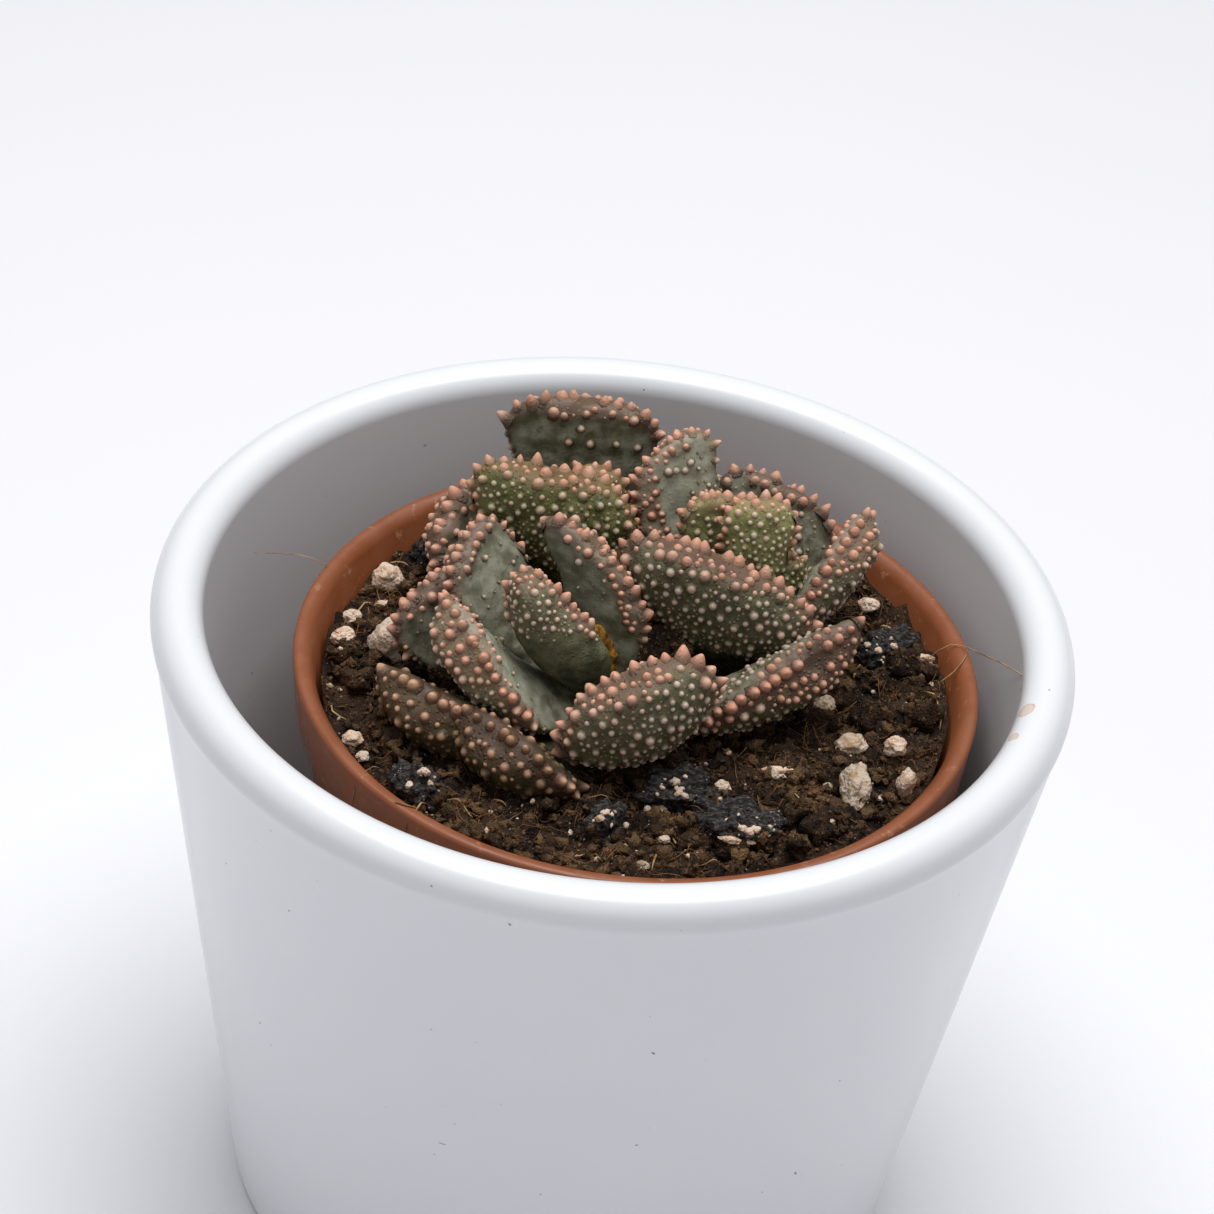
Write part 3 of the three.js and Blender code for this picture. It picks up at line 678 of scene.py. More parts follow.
def perlite_finish():
    finish = Finish("perlite", 0.85, 0.3)
    stain = finish.ranged(finish.clouds(0.8, 4), 0.45, 0.72)
    pale = finish.mix(stain, srgb(236, 210, 188), srgb(204, 158, 118))
    grey = finish.mix(stain, srgb(176, 164, 146), srgb(134, 112, 72))
    tone = finish.mix(finish.attribute("tone"), pale, grey)
    # The pits that the bump sinks are darkened: painted shade in the pits.
    shaded_pits = finish.ranged(finish.cells(0.3), 0.05, 0.3, 0.6, 0)
    finish.colour(finish.mix(shaded_pits, tone, srgb(120, 102, 84)))
    return finish.bump(finish.plus(finish.cells(0.3), finish.clouds(0.2, 2)), 0.14, 0.9)


def bark_finish():
    finish = Finish("charred_bark", 0.55, 0.45)
    streaks_and_sheen = finish.clouds(0.5, 5, 0.65, (1, 2.5, 1))
    # The raised streaks are light grey: partly the charred bark's own grain, partly a painted sheen.
    tone = finish.mix(finish.ranged(streaks_and_sheen, 0.42, 0.7), srgb(12, 11, 12), srgb(104, 98, 94))
    spots = finish.ranged(finish.clouds(0.2, 1), 0.66, 0.7)
    specks = finish.times(spots, finish.ranged(finish.clouds(1.8), 0.5, 0.6))
    finish.colour(finish.mix(specks, tone, srgb(206, 190, 170)))
    return finish.bump(streaks_and_sheen, 0.45)


def leaf_finish(name, back, face, band, root, wart, cap_from):
    """Skin and warts of one age of leaf. A leaf's own values say where its skin is face, rim band
    or wart, how pale the skin is, and how flushed its warts are."""
    pairs = (back, face, band, root, wart)
    back, face, band, root, wart = ([srgb(*shade) for shade in pair] for pair in pairs)
    finish = Finish(name, 0.5, 0.4)
    mottle = finish.ranged(finish.clouds(1.2, 4), 0.34, 0.68)
    pale = finish.attribute("pale")
    shade = finish.plus(finish.times(mottle, 0.4), finish.times(pale, 0.6))
    skin = finish.mix(finish.attribute("face"), finish.mix(shade, *back), finish.mix(shade, *face))
    # Little knobs, used for relief and for colour: on the rim band their tops are lighter than the
    # gaps, partly the skin's own paler papillae and partly painted light and shade.
    knob_relief_and_light = finish.ranged(finish.cells(0.42), 0.05, 0.42, 1, 0)
    flush = finish.mix(finish.plus(finish.times(knob_relief_and_light, 0.4), finish.times(pale, 0.5)), *band)
    blotches = finish.ranged(finish.clouds(0.9, 3), 0.32, 0.6, 0.45, 1)
    skin = finish.mix(finish.times(finish.attribute("band"), blotches), skin, flush)
    uneven = finish.ranged(finish.clouds(0.5, 2), 0.35, 0.7, -0.15, 0.25)
    blush = finish.plus(finish.attribute("blush"), uneven)
    rise = finish.attribute("wart")
    skin = finish.mix(finish.ranged(rise, 0.1, 0.45), skin, finish.mix(blush, *root))
    cap = finish.ranged(rise, cap_from, cap_from + 0.52)
    cap = finish.times(cap, finish.ranged(pale, 0, 0.5, 0.76, 1))
    finish.colour(finish.mix(cap, skin, finish.mix(blush, *wart)))
    finish.give("Roughness", finish.ranged(mottle, 0, 1, 0.44, 0.6))
    relief = finish.times(knob_relief_and_light, finish.plus(finish.times(finish.attribute("band"), 0.9), 0.5))
    relief = finish.plus(relief, finish.times(finish.clouds(0.16, 3), 0.7))
    rough_parts = finish.times(finish.ranged(finish.attribute("face"), 0, 1, 1, 0.3),
                               finish.ranged(rise, 0.1, 0.5, 1, 0.2))
    return finish.bump(finish.times(relief, rough_parts), 0.12)


def dried_finish():
    finish = Finish("dried_leaf", 0.75, 0.3)
    patches = finish.ranged(finish.clouds(0.7, 4), 0.35, 0.65)
    finish.colour(finish.mix(patches, srgb(52, 34, 12), srgb(166, 116, 30)))
    return finish.bump(finish.clouds(0.4, 4, 0.7), 0.2, 0.9)


def stem_finish():
    finish = Finish("bare_stem", 0.85, 0.3)
    finish.colour(finish.mix(finish.clouds(1.2, 4), srgb(62, 44, 28), srgb(110, 84, 56)))
    return finish.bump(finish.clouds(0.5, 4), 0.15, 0.8)


# Pots

def cover_pot(material):
    lip = (COVER_RIM_RADIUS - COVER_LIP_RADIUS, COVER_HEIGHT - COVER_LIP_RADIUS)
    foot = (COVER_FOOT_RADIUS - COVER_EDGE_RADIUS, COVER_EDGE_RADIUS)
    inner_foot = (COVER_INNER_RADIUS - COVER_INNER_FILLET, COVER_FLOOR + COVER_INNER_FILLET)
    outline = [(0, 0)]
    outline += arc(foot, COVER_EDGE_RADIUS, -90, -8, 8)
    outline += [(COVER_WALL_TOP_RADIUS, lip[1] - COVER_LIP_NECK)]
    outline += arc(lip, COVER_LIP_RADIUS, -18, 180, 30)
    outline += arc(inner_foot, COVER_INNER_FILLET, 0, -90, 8)
    outline += [(0, COVER_FLOOR)]
    finished("cover_pot_glazed", lathe(outline, COVER_STEPS), material, "cover_pot")


def nursery_pot(material):
    band_foot = NURSERY_HEIGHT - NURSERY_RIM_BAND
    band = NURSERY_RIM_RADIUS - NURSERY_EDGE
    edge = (NURSERY_RIM_RADIUS - NURSERY_EDGE, NURSERY_HEIGHT - NURSERY_EDGE)
    foot = (NURSERY_FOOT_RADIUS - 2 * NURSERY_EDGE, 2 * NURSERY_EDGE)
    inner_top = NURSERY_RIM_RADIUS - NURSERY_STEP - NURSERY_WALL
    outline = [(0, 0)]
    outline += arc(foot, 2 * NURSERY_EDGE, -90, 0, 4)
    outline += [(band - NURSERY_STEP, band_foot - NURSERY_BEVEL)]
    outline += [(band - NURSERY_STEP + NURSERY_TAPER, band_foot)]
    outline += [(band - NURSERY_TAPER, band_foot), (band, band_foot + NURSERY_BEVEL)]
    outline += arc(edge, NURSERY_EDGE, 0, 90, 5)
    outline += [(NURSERY_RIM_RADIUS - NURSERY_WALL, NURSERY_HEIGHT)]
    outline += [(inner_top, NURSERY_HEIGHT - NURSERY_CHAMFER)]
    outline += [(NURSERY_FOOT_RADIUS - NURSERY_WALL, NURSERY_WALL), (0, NURSERY_WALL)]
    bm = lathe(outline, NURSERY_STEPS)
    bmesh.ops.translate(bm, vec=NURSERY_CENTRE + Vector((0, 0, NURSERY_BASE)), verts=bm.verts)
    piece = finished("nursery_pot_moulded", bm, material, "nursery_pot")
    holes = bmesh.new()
    for i in range(DRAIN_HOLES):
        angle = FULL_TURN * i / DRAIN_HOLES
        out = Vector((math.cos(angle), math.sin(angle), 0)) * DRAIN_RING_RADIUS
        place = Matrix.Translation(NURSERY_CENTRE + out + Vector((0, 0, NURSERY_BASE)))
        bmesh.ops.create_cone(holes, cap_ends=True, segments=DRAIN_SIDES, radius1=DRAIN_RADIUS,
                              radius2=DRAIN_RADIUS, depth=4 * NURSERY_WALL, matrix=place)
    cutter = placed("drain_holes", in_metres(holes, "drain_holes"))
    cut = piece.modifiers.new("drain_holes", "BOOLEAN")
    cut.operation = "DIFFERENCE"
    cut.solver = "EXACT"
    cut.object = cutter
    bpy.context.view_layer.update()
    shaped = piece.evaluated_get(bpy.context.evaluated_depsgraph_get())
    drilled = bpy.data.meshes.new_from_object(shaped)
    piece.modifiers.clear()
    piece.data = drilled
    bpy.data.objects.remove(cutter)


# Soil

def soil_bank(x, y):
    """How far the soil is banked up near the wall, most of all at the back right."""
    right, far = (x - NURSERY_CENTRE.x) / SOIL_RADIUS, (y - NURSERY_CENTRE.y) / SOIL_RADIUS
    share = min(1, max(0, (math.hypot(right, far) - SOIL_BANK_START) / (1 - SOIL_BANK_START)))
    lean = SOIL_BANK_LEAN[0] * right + SOIL_BANK_LEAN[1] * far
    return SOIL_BANK * share * share * (3 - 2 * share) * (SOIL_BANK_EVEN + lean)


def soil_height(x, y):
    """The soil's height at a place: the solid's waves, and noise finer than they are."""
    broad = math.sin(0.31 * x + 0.7) * math.cos(0.27 * y - 0.4)
    fine = math.sin(1.3 * x + 2.1 * y) + math.sin(2.3 * x - 1.1 * y + 1)
    bumps = sum(height * noise.noise(Vector((x * pace, y * pace, level)))
                for height, pace, level in SOIL_NOISES)
    return SOIL_TOP + SOIL_LUMP * (0.7 * broad + 0.45 * fine) + bumps + soil_bank(x, y)


def soil_bed(material):
    floor = NURSERY_BASE + NURSERY_WALL + GAP
    outline = [(0, floor), (SOIL_FOOT_RADIUS, floor)]
    outline += [(SOIL_RADIUS * ring / SOIL_RINGS, SOIL_TOP) for ring in range(SOIL_RINGS, -1, -1)]
    bm = lathe(outline, SOIL_STEPS)
    bmesh.ops.translate(bm, vec=NURSERY_CENTRE, verts=bm.verts)
    for vert in bm.verts:
        if vert.co.z > SOIL_TOP - GAP:
            vert.co.z = soil_height(vert.co.x, vert.co.y)
            out = (vert.co - NURSERY_CENTRE) * Vector((1, 1, 0))
            reach = 1 + (vert.co.z - SOIL_TOP + GAP) * WALL_SLOPE / SOIL_RADIUS
            vert.co = NURSERY_CENTRE + out * reach + Vector((0, 0, vert.co.z))
    return finished("soil_bed", bm, material, node="soil")


def search_tree(pieces):
    """The surfaces of some pieces, in millimetres, to look places up on."""
    bm = bmesh.new()
    for piece in pieces:
        bm.from_mesh(piece.data)
    bmesh.ops.scale(bm, vec=(1 / MM,) * 3, verts=bm.verts)
    tree = BVHTree.FromBMesh(bm)
    bm.free()
    return tree


def top_of(tree, x, y):
    """The highest place on those surfaces there, or the plain soil's where they end."""
    place, _, _, _ = tree.ray_cast(Vector((x, y, SOIL_TOP * 2)), Vector((0, 0, -1)))
    return place or Vector((x, y, soil_height(x, y)))


def clear_of(leaves, place, room):
    """Whether a place is outside every leaf by that much."""
    found, normal, _, distance = leaves.find_nearest(place, LEAF_SEARCH)
    if found is None:
        return True
    return distance > room and (place - found).dot(normal) > 0


def on_soil(draw, reach):
    """A place drawn anywhere on the soil within that radius."""
    radius = reach * math.sqrt(draw.random())
    angle = FULL_TURN * draw.random()
    x = NURSERY_CENTRE.x + radius * math.cos(angle)
    y = NURSERY_CENTRE.y + radius * math.sin(angle)
    return Vector((x, y, soil_height(x, y)))


def scattered(name, forms, leaves, material, draw, ground=None):
    """Lumps strewn over the soil, each sunk a little, turned its own way, and clear of the leaves."""
    count, sizes, kind, rise = STREWN[name]
    bm = bmesh.new()
    for _ in range(count):
        size = lerp(*sizes, draw.random() ** STREWN_MOSTLY_SMALL)
        place = on_soil(draw, SOIL_RADIUS + STREWN_SPILL - size / 2)
        if ground:
            place = top_of(ground, place.x, place.y)
        place.z += size * rise
        axis = Vector((draw.random(), draw.random(), STREWN_AXIS_RISE))
        turn = Matrix.Rotation(FULL_TURN * draw.random(), 4, axis)
        width = size * lerp(*STREWN_WIDTH, draw.random())
        height = size * lerp(*STREWN_HEIGHT, draw.random())
        template = forms[kind][draw.randrange(len(forms[kind]))]
        if clear_of(leaves, place, size * STREWN_ROOM):
            tone = draw.random() ** STREWN_MOSTLY_DARK
            add_copy(bm, template, place, turn, (size, width, height), tone=tone)
    return finished(name, bm, material)


def perlite_grains(forms, material, ground):
    """The grains of perlite that the photo shows, each on the ground or as high as it stands there."""
    draw = random.Random(PERLITE_SEED)
    bm = bmesh.new()
    for i, (x, y, across, along, tall, rise) in enumerate(PERLITE):
        bare = soil_height(x, y) + tall * PERLITE_RISE + rise
        place = (x, y, max(bare, top_of(ground, x, y).z - tall * PERLITE_SINK))
        turn = Matrix.Rotation(draw.uniform(*PERLITE_ROLL), 4, "Y")
        turn = turn @ Matrix.Rotation(draw.uniform(*PERLITE_PITCH), 4, "X")
        size = [span * full for span, full in zip((across, along, tall), PERLITE_FULLNESS)]
        template = forms["perlite"][i % len(forms["perlite"])]
        add_copy(bm, template, place, turn, size, tone=draw.random() ** 2)
    finished("perlite_grains", bm, material)


def bark_chips(forms, material, grit_material):
    """The chips of charred bark, with grit in a patch on each."""
    bm, grit = bmesh.new(), bmesh.new()
    for template, (x, y, length, width, bearing) in zip(forms["bark"], BARK):
        place = (x, y, soil_height(x, y) + BARK_RISE)
        turn = Matrix.Rotation(math.radians(bearing), 4, "Z")
        size = (length * BARK_FULLNESS[0], width * BARK_FULLNESS[1], BARK_THICKNESS)
        add_copy(bm, template, place, turn, size)
    draw = random.Random(GRIT_ON_BARK_SEED)
    tops = BVHTree.FromBMesh(bm)
    for x, y, length, width, _ in BARK:
        patch = Vector((draw.uniform(-1, 1) * GRIT_PATCH[0] * length, GRIT_PATCH[1] * width, 0))
        for _ in range(GRIT_ON_BARK):
            right = draw.gauss(0, length * GRIT_SPREAD[0])
            far = draw.gauss(0, width * GRIT_SPREAD[1])
            above = Vector((x, y, SOIL_TOP * 2)) + patch + Vector((right, far, 0))
            place, _, _, _ = tops.ray_cast(above, Vector((0, 0, -1)))
            if place:
                size = lerp(*GRIT_ON_BARK_SIZE, draw.random() ** 2)
                form = (size, size * draw.uniform(*GRIT_WIDTH), size * GRIT_HEIGHT)
                turn = Matrix.Rotation(FULL_TURN * draw.random(), 4, "Z")
                template = forms["grit"][draw.randrange(len(forms["grit"]))]
                add_copy(grit, template, place, turn, form, tone=GRIT_TONE * draw.random())
    finished("grit_on_bark", grit, grit_material)
    finished("bark_chips", bm, material)


def add_strand(bm, rod, points, radius):
    """Lays a rod along a few points, thinner towards its ends."""
    strand = rod.copy()
    spans = len(points) - 1
    for vert in strand.vertices:
        along = min(max(vert.co.z, 0), 1) * spans
        i = min(int(along), spans - 1)
        middle = points[i].lerp(points[i + 1], along - i)
        before, after = points[max(i - 1, 0)], points[min(i + 2, spans)]
        heading = (points[i + 1] - points[i]).lerp(after - before, 0.5).normalized()
        side = heading.cross(STRAND_ASIDE).normalized()
        up = side.cross(heading)
        size = radius * (STRAND_THIN + STRAND_SWELL * math.sin(math.pi * vert.co.z))
        vert.co = middle + (side * vert.co.x + up * vert.co.y) * size
    bm.from_mesh(strand)
    bpy.data.meshes.remove(strand)


def strand_rod():
    """A straight strand, one unit long and thick, with rings to bend it at."""
    sides = [(1, i / (STRAND_RINGS - 1)) for i in range(STRAND_RINGS)]
    return mesh_of(lathe([(0, 0)] + sides + [(0, 1)], STRAND_SIDES), "rod")


def loose_hairs(material):
    rod = strand_rod()
    bm = bmesh.new()
    for radius, points in HAIRS:
        add_strand(bm, rod, [Vector(point) for point in points], radius)
    finished("loose_hairs", bm, material)


def strewn_strands(name, leaves, material):
    """Bent strands that lie on the soil and stick out of it, clear of the leaves."""
    count, lengths, radii, bend_most, lift_most, seed = STRANDS[name]
    draw = random.Random(seed)
    rod = strand_rod()
    bm = bmesh.new()
    spans = STRAND_POINTS - 1
    reach = SOIL_RADIUS - STRAND_WALL_ROOM
    for _ in range(count):
        place = on_soil(draw, SOIL_RADIUS - STRAND_START_ROOM)
        heading = FULL_TURN * draw.random()
        length = lerp(*lengths, draw.random() ** STRAND_MOSTLY_SHORT)
        bend = draw.uniform(-bend_most, bend_most)
        lift = draw.uniform(STRAND_LEAST_LIFT, lift_most)
        points = []
        for i in range(STRAND_POINTS):
            place = place + Vector((math.cos(heading), math.sin(heading), 0)) * (length / spans)
            heading += bend / spans + draw.uniform(-STRAND_WANDER, STRAND_WANDER) * bend_most
            off = (place - NURSERY_CENTRE) * Vector((1, 1, 0))
            if off.length > reach:
                place = NURSERY_CENTRE + off.normalized() * reach
            height = soil_height(place.x, place.y) + STRAND_RISE + lift * math.sin(math.pi * i / spans)
            points.append(Vector((place.x, place.y, height)))
        if all(clear_of(leaves, point, STRAND_LEAF_ROOM) for point in points):
            add_strand(bm, rod, points, draw.uniform(*radii))
    finished(name, bm, material)


# Leaves

class Leaf:
    """The shape of one leaf, the same rule as the solid's, worked on whole rows of places at once."""

    def __init__(self, name, form, look):
        self.name = name
        *ends, shoulder, bow, self.thick, self.blunt = form
        kind, self.age, self.pale, self.face_warts, self.back_warts = look[:5]
        self.first_teeth, self.second_teeth, self.wart_size, self.seed = look[5:]
        self.slot = kind + "_leaf"
        self.base, self.tip, self.across = (np.array(place, float) for place in ends)
        chord = self.tip - self.base
        back = np.cross(self.across, chord)
        self.middle = (self.base + self.tip) / 2 + back / np.linalg.norm(back) * bow
        end_run = self.tip - self.middle
        end_run /= np.linalg.norm(end_run)
        self.slant = self.across @ end_run
        self.width = np.linalg.norm(self.across - end_run * self.slant)
        self.shoulder = 1 - shoulder / np.linalg.norm(chord)

    def line(self, share):
        t = share[:, None]
        return self.base * (1 - t) ** 2 + self.middle * 2 * t * (1 - t) + self.tip * t ** 2

    def size(self, share):
        """Half the width and the thickness: a neck, a spoon, a blunt end."""
        spoon = smooth(share, LEAF_SPOON_START, self.shoulder + LEAF_SPOON_END)
        end = np.clip((share - self.shoulder) / (1 - self.shoulder), 0, 1)
        cap = np.clip((share - LEAF_CAP_START) / (1 - LEAF_CAP_START), 0, 1)
        neck = min(LEAF_NECK, self.width * LEAF_NECK_OF_WIDTH)
        half = lerp(neck, self.width, spoon) / 2 * (1 - end ** self.blunt) ** (1 / self.blunt)
        thick = lerp(neck / 2, self.thick, spoon) * (1 - cap ** 3) ** (1 / 3)
        return half, thick

    def point(self, share, turn):
        t = share[:, None]
        along = (self.middle - self.base) * (1 - t) + (self.tip - self.middle) * t
        along /= np.linalg.norm(along, axis=1)[:, None]
        side = self.across - along * (along @ self.across)[:, None]
        side /= np.linalg.norm(side, axis=1)[:, None]
        back = np.cross(side, along)
        half, thick = self.size(share)
        across, through = np.cos(turn * FULL_TURN), np.sin(turn * FULL_TURN)
        keel = thick * (1 - LEAF_FACE_SHARE) * np.abs(through) ** LEAF_KEEL
        depth = np.where(through > 0, -thick * LEAF_FACE_SHARE * through, keel)
        shift = self.slant * across * half / self.width
        place = self.line(share) + side * (half * across)[:, None] + back * depth[:, None]
        return place + along * shift[:, None]

    def normal(self, share, turn):
        low, high = np.clip(share - NORMAL_STEP, 0, 1), np.clip(share + NORMAL_STEP, 0, 1)
        along = self.point(high, turn) - self.point(low, turn)
        around = self.point(share, turn + NORMAL_STEP) - self.point(share, turn - NORMAL_STEP)
        out = np.cross(along, around)
        out /= np.linalg.norm(out, axis=1)[:, None] + TINY
        away = self.point(share, turn) - self.line(share)
        return out * np.where((out * away).sum(1) < 0, -1, 1)[:, None]

    def waved(self, share, turn):
        """Places and normals of the leaf's uneven skin, which leaves its root and its end alone."""
        places = self.point(share, turn)
        normals = self.normal(np.clip(share, *NORMAL_SHARES), turn)
        calm = smooth(share, 0, CALM_ROOT) * (1 - smooth(share, CALM_END, 1))
        waves = [sum(size * noise.noise(Vector(place) * pace + WAVE_START) for size, pace in LEAF_WAVES)
                 for place in places]
        return places + normals * (np.array(waves) * calm)[:, None], normals

    def rim(self, share, turn):
        """How near a place is to the thick warty rim at the leaf's end, from 0 to 1."""
        across = np.cos(turn * FULL_TURN)
        start = np.where(across > 0, self.first_teeth, self.second_teeth)
        edge = smooth(np.abs(across), *RIM_ACROSS)
        if self.name in FACE_BANDS:
            side, inner = FACE_BANDS[self.name]
            on_face = smooth(np.sin(turn * FULL_TURN), *FACE_EDGE)
            edge = np.maximum(edge, on_face * smooth(across * side, inner, inner + FACE_BAND_FADE))
        edge = edge * smooth(share, start - RIM_FADE, start + RIM_FADE)
        return np.maximum(edge, smooth(share, *RIM_END))


def leaf_skin(leaf, spots=()):
    """The leaf's skin: rings of the leaf's form, swollen under each wart and closed at both ends."""
    bm = bmesh.new()
    layers = {key: bm.verts.layers.float.new(key) for key in LEAF_VALUES}
    turn = np.tile(np.arange(SKIN_AROUND) / SKIN_AROUND, SKIN_ALONG + 1)
    rows = np.repeat(np.arange(SKIN_ALONG + 1) / SKIN_ALONG, SKIN_AROUND)
    share = np.sin(rows * math.pi / 2) ** SKIN_EASE
    places, normals = leaf.waved(share, turn)
    rise, halo = np.zeros(len(share)), np.zeros(len(share))
    for place, radius in spots:
        near = ((places - place) ** 2).sum(1) / radius ** 2
        rise += SWELL * radius * np.exp(-near / SWELL_REACH ** 2)
        halo += HALO * np.exp(-near / HALO_REACH ** 2)
    rim = leaf.rim(share, turn)
    facing = smooth(np.sin(turn * FULL_TURN), *FACE_FADE)
    # Darker towards the root, partly the neck's own colour and partly painted shade.
    paleness, flush = smooth(share, *PALE_SHARES) * leaf.pale, lerp(*RIM_FLUSH, leaf.pale)
    skin = places + normals * rise[:, None]
    end = len(skin) - SKIN_AROUND
    skin[end] = skin[end:].mean(0)
    verts = [bm.verts.new(place) for place in skin[:end + 1]]
    for i, vert in enumerate(verts):
        vert[layers["band"]] = flush * rim[i] ** RIM_FLUSH_EASE
        vert[layers["blush"]] = rim[i]
        vert[layers["face"]] = facing[i]
        vert[layers["wart"]] = min(HALO * HALO_MOST, halo[i])
        vert[layers["pale"]] = paleness[i]
    join_rings(bm, [verts[i:i + SKIN_AROUND] for i in range(0, end + 1, SKIN_AROUND)])
    bm.faces.new(reversed(verts[:SKIN_AROUND]))
    return mesh_of(bm, leaf.name)


def teeth(leaf, draw):
    """Places of the row of teeth along the rim, from one side round the end to the other."""
    nearing = (1 - np.linspace(0, 1, TOOTH_STEPS)) ** 3
    first, second = 1 - (1 - leaf.first_teeth) * nearing, 1 - (1 - leaf.second_teeth) * nearing
    share = np.concatenate([first, second[::-1]])
    turn = np.repeat([0.0, 0.5], len(nearing))
    places = leaf.point(share, turn)
    run = np.insert(np.cumsum(np.linalg.norm(np.diff(places, axis=0), axis=1)), 0, 0)
    at = np.arange(TOOTH_START, run[-1], TOOTH_PITCH * leaf.wart_size)
    at = at + draw.uniform(-TOOTH_SHIFT, TOOTH_SHIFT, len(at))
    shares = np.clip(np.interp(at, run, share), 0, LAST_TOOTH)
    turns = np.where(at < run[len(nearing)], 0, 0.5) + draw.uniform(-TOOTH_TURN, TOOTH_TURN, len(at))
    radii = draw.uniform(*TOOTH_RADIUS, len(at)) * leaf.wart_size
    return [(s, t % 1, r, r * TOOTH_HEIGHT, "tooth") for s, t, r in zip(shares, turns, radii)]


def warts(leaf):
    """Every wart of a leaf, large ones first, as share, turn, radius, height and kind, and as spots on
    its skin with their radii."""
    draw = np.random.RandomState(leaf.seed)
    kept = teeth(leaf, draw)
    kept += [(*at, LONE_WART, LONE_WART, "rim") for at in LONE_WARTS.get(leaf.name, ())]
    share, turn, radii = np.array([wart[:3] for wart in kept]).T
    spots, _ = leaf.waved(share, turn)
    for kind, (tries, low, high, spacing, height) in WART_ROUNDS.items():
        share, turn = draw.uniform(*WART_SHARES, tries), draw.uniform(0, 1, tries)
        chance = draw.uniform(0, 1, tries)
        radius = lerp(low, high, draw.uniform(0, 1, tries)) * leaf.wart_size
        rim = leaf.rim(share, turn)
        on_face = np.sin(turn * FULL_TURN) > WART_ON_FACE
        if kind == "rim":
            wanted = rim > np.where(on_face, *RIM_WARTS_FROM)
        else:
            start = SMOOTH_BACKS.get(leaf.name, BACK_WARTS_FROM)
            banded = BAND_WARTS * (rim > RIM_WARTS_FROM[0])
            face = np.maximum(leaf.face_warts * smooth(share, *FACE_WARTS_SHARES), banded)
            back = np.maximum(leaf.back_warts * smooth(share, start, start + BACK_WARTS_FADE), rim)
            wanted = chance < np.where(on_face, face, back)
            radius = radius * lerp(ROOT_WARTS, 1, smooth(share, *ROOT_SHARES))
        points, _ = leaf.waved(share, turn)
        for i in np.flatnonzero(wanted):
            apart = np.linalg.norm(spots - points[i], axis=1)
            if (apart > (radii + radius[i]) * spacing).all():
                spots = np.vstack([spots, points[i]])
                radii = np.append(radii, radius[i])
                kept.append((share[i], turn[i], radius[i], radius[i] * height, kind))
    return kept, list(zip(spots, radii))


def warty_leaf(leaf, material, templates):
    kept, spots = warts(leaf)
    bm = bmesh.new()
    bm.from_mesh(leaf_skin(leaf, spots))
    draw = random.Random(leaf.seed)
    places = np.array([wart[:2] for wart in kept]).T
    _, normals = leaf.waved(*places)
    rims = leaf.rim(*places)
    outwards = Vector(leaf.tip - leaf.middle).normalized()
    for (_, _, radius, height, kind), (place, _), normal, rim in zip(kept, spots, normals, rims):
        tilt = Vector([draw.uniform(-WART_TILT, WART_TILT) for _ in range(3)])
        axis = (Vector(normal) + outwards * WART_LEAN * rim + tilt).normalized()
        size = radius * draw.uniform(*WART_SIZE)
        height *= OLD_WART_HEIGHT if leaf.age == "old" and kind != "tooth" else 1
        form = (size, size * draw.uniform(*WART_WIDTH), height * draw.uniform(*WART_RISE))
        root = Vector(place) + Vector(normal) * SWELL * radius * WART_SEAT
        turn = turned_to(axis, draw.uniform(0, WART_SPIN))
        blush = WART_BLUSH[0] + WART_BLUSH[1] * rim + draw.uniform(*WART_BLUSH_SHIFT)
        blush = min(1, max(0, blush))
        add_copy(bm, templates[kind], root, turn, form, blush=blush, band=rim, pale=leaf.pale)
    return finished(leaf.name + "_warty", bm, material, leaf.name)


def wart_template(kind):
    """A blunt wart whose own values run from nearly nothing at its root to full tint at its top."""
    profile, steps = WART_FORMS[kind]
    bm = lathe(profile, steps)
    layers = {key: bm.verts.layers.float.new(key) for key in LEAF_VALUES}
    for vert in bm.verts:
        vert[layers["wart"]] = lerp(HALO * HALO_AT_ROOT, WART_TINT[kind], max(0, vert.co.z))
    return mesh_of(bm, "wart")


def dried_leaf(leaf, material):
    """A thin curled scrap, crumpled by noise."""
    bm = bmesh.new()
    bm.from_mesh(leaf_skin(leaf))
    for vert in bm.verts:
        place = vert.co * CRUMPLE_PACE
        vert.co += Vector([noise.noise(place + shift) for shift in CRUMPLE_SHIFTS]) * CRUMPLE
    return finished(leaf.name + "_curled", bm, material, leaf.name)


# Stage, lights and camera

def stage_floor():
    finish = Finish("studio_floor", 0.6)
    finish.colour(finish.mix(finish.clouds(120), srgb(244, 243, 248), srgb(247, 246, 250)))
    bm = bmesh.new()
    bmesh.ops.create_grid(bm, x_segments=4, y_segments=4, size=FLOOR_REACH)
    mesh = in_metres(bm, "studio_floor")
    mesh.materials.append(finish.material)
    floor = placed("studio_floor", mesh)


def area_light(name, place, aim, size, power):
    light = bpy.data.lights.new(name, "AREA")
    light.shape = "DISK"
    light.size = size * MM
    light.energy = power
    heading = (Vector(aim) - Vector(place)).normalized()
    turn = turned_to(-heading)
    placed(name, light).matrix_world = Matrix.Translation(Vector(place) * MM) @ turn


def lights():
    world = bpy.data.worlds.new("pale_room")
    world.use_nodes = True
    background = world.node_tree.nodes["Background"]
    background.inputs["Color"].default_value = ROOM_COLOUR
    background.inputs["Strength"].default_value = ROOM_STRENGTH
    scene.world = world
    for name, settings in LAMPS.items():
        area_light(name, *settings)
    scene.view_settings.view_transform = "Standard"


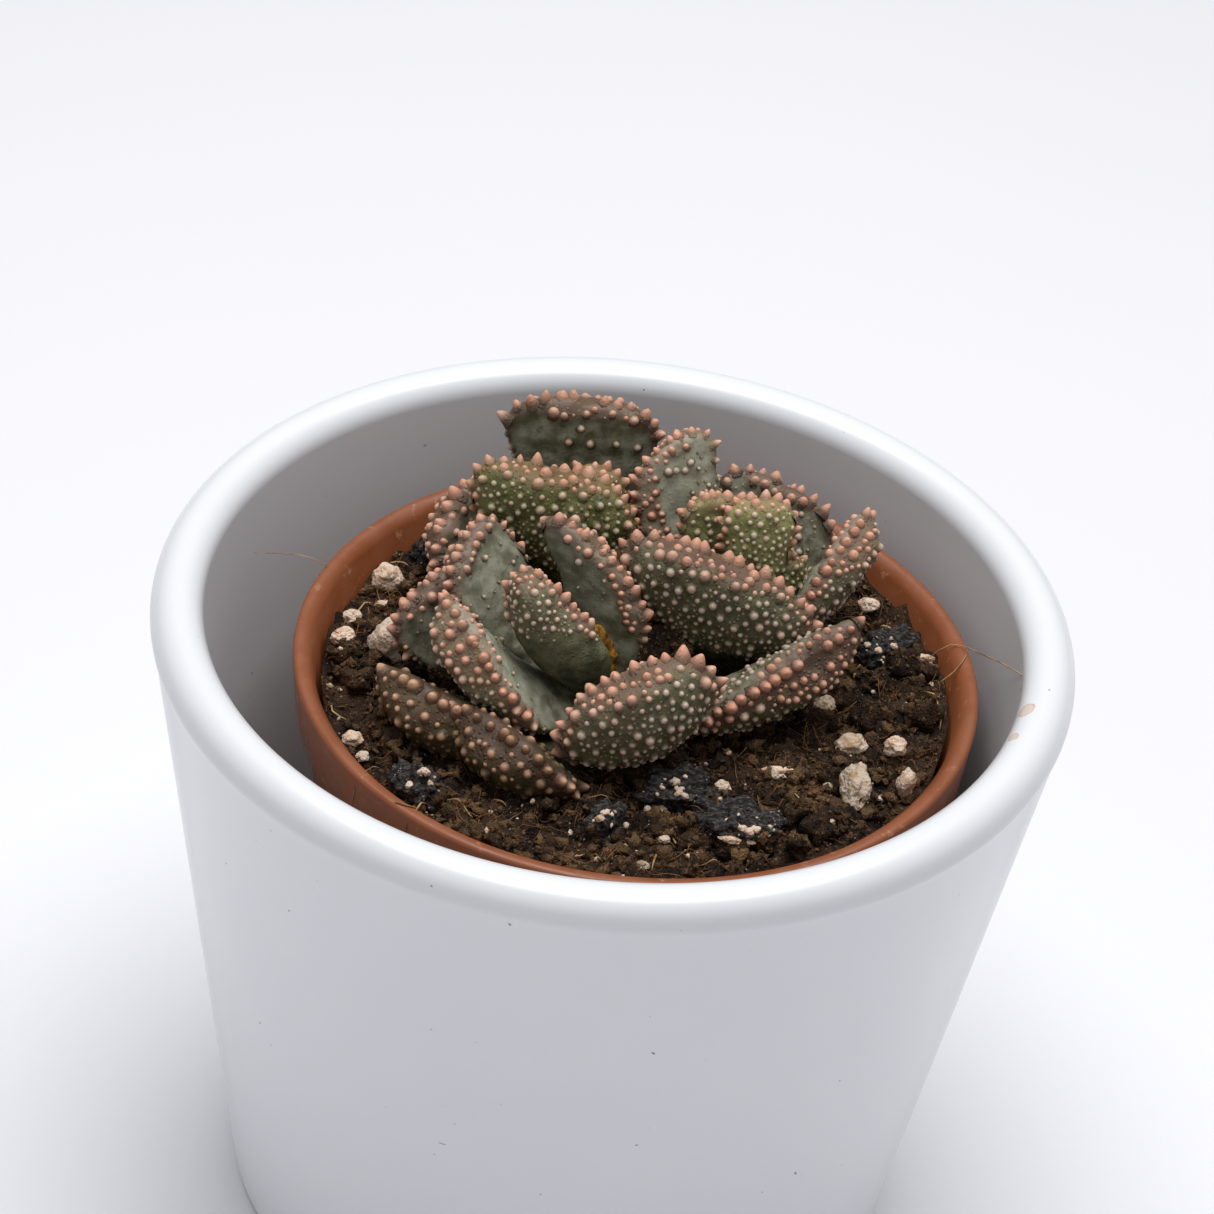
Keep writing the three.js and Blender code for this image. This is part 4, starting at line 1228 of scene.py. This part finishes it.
def photo_camera():
    away = Vector((0, -math.cos(CAMERA_ELEVATION), math.sin(CAMERA_ELEVATION)))
    level = Vector((1, 0, 0))
    upright = level.cross(-away)
    right = level * math.cos(CAMERA_ROLL) + upright * math.sin(CAMERA_ROLL)
    up = upright * math.cos(CAMERA_ROLL) - level * math.sin(CAMERA_ROLL)
    place = (CAMERA_AIM + away * CAMERA_DISTANCE) * MM
    data = bpy.data.cameras.new("photo_camera")
    data.sensor_width = SENSOR
    data.lens = FOCAL_PIXELS / FRAME_PIXELS * SENSOR
    data.clip_start = CAMERA_NEAR
    camera = placed("photo_camera", data)
    turn = Matrix((right, up, away)).transposed().to_4x4()
    camera.matrix_world = Matrix.Translation(place) @ turn
    scene.camera = camera


def grown_leaves():
    """Every leaf, in the finish of its age."""
    finishes = {kind: leaf_finish(kind + "_leaf", **shades) for kind, shades in LEAF_SHADES.items()}
    dried = dried_finish()
    templates = {kind: wart_template(kind) for kind in WART_FORMS}
    pieces = []
    for name, (form, look) in LEAVES.items():
        leaf = Leaf(name, form, look)
        if leaf.age == "dried":
            pieces.append(dried_leaf(leaf, dried))
        else:
            pieces.append(warty_leaf(leaf, finishes[leaf.age], templates))
    return pieces


def soil_and_litter(leaves):
    """The soil with everything that lies on it, clear of the leaves."""
    dark_peat = peat("dark_peat", srgb(22, 18, 16), srgb(84, 62, 44))
    warm_peat = peat("warm_peat", srgb(22, 18, 16), srgb(124, 95, 66))
    perlite = perlite_finish()
    fibre = fibre_finish("peat_fibre", srgb(48, 32, 20), srgb(142, 100, 60))
    straw = fibre_finish("pale_straw", srgb(120, 88, 52), srgb(196, 162, 112))
    forms = {kind: lumps(kind) for kind in LUMPS}
    draw = random.Random(STREWN_SEED)
    bed = soil_bed(dark_peat)
    clods = scattered("soil_clods", forms, leaves, dark_peat, draw)
    ground = search_tree([bed, clods])
    scattered("soil_crumbs", forms, leaves, warm_peat, draw, ground)
    scattered("soil_dust", forms, leaves, warm_peat, draw, ground)
    perlite_grains(forms, perlite, ground)
    bark_chips(forms, bark_finish(), perlite)
    scattered("grit", forms, leaves, perlite, draw, ground)
    strewn_strands("peat_fibres", leaves, fibre)
    loose_hairs(straw)
    strewn_strands("pale_straws", leaves, straw)


def bare_stems():
    """The stems are the solids themselves, with a finish of their own."""
    bare = stem_finish()
    for head in ("front", "right", "back"):
        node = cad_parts[head + "_head_stem"]
        node.data.materials.clear()
        node.data.materials.append(bare)


def build():
    cover_pot(white_glaze())
    nursery_pot(terracotta_plastic())
    leaves = search_tree(grown_leaves())
    soil_and_litter(leaves)
    bare_stems()
    stage_floor()
    lights()
    photo_camera()


build()
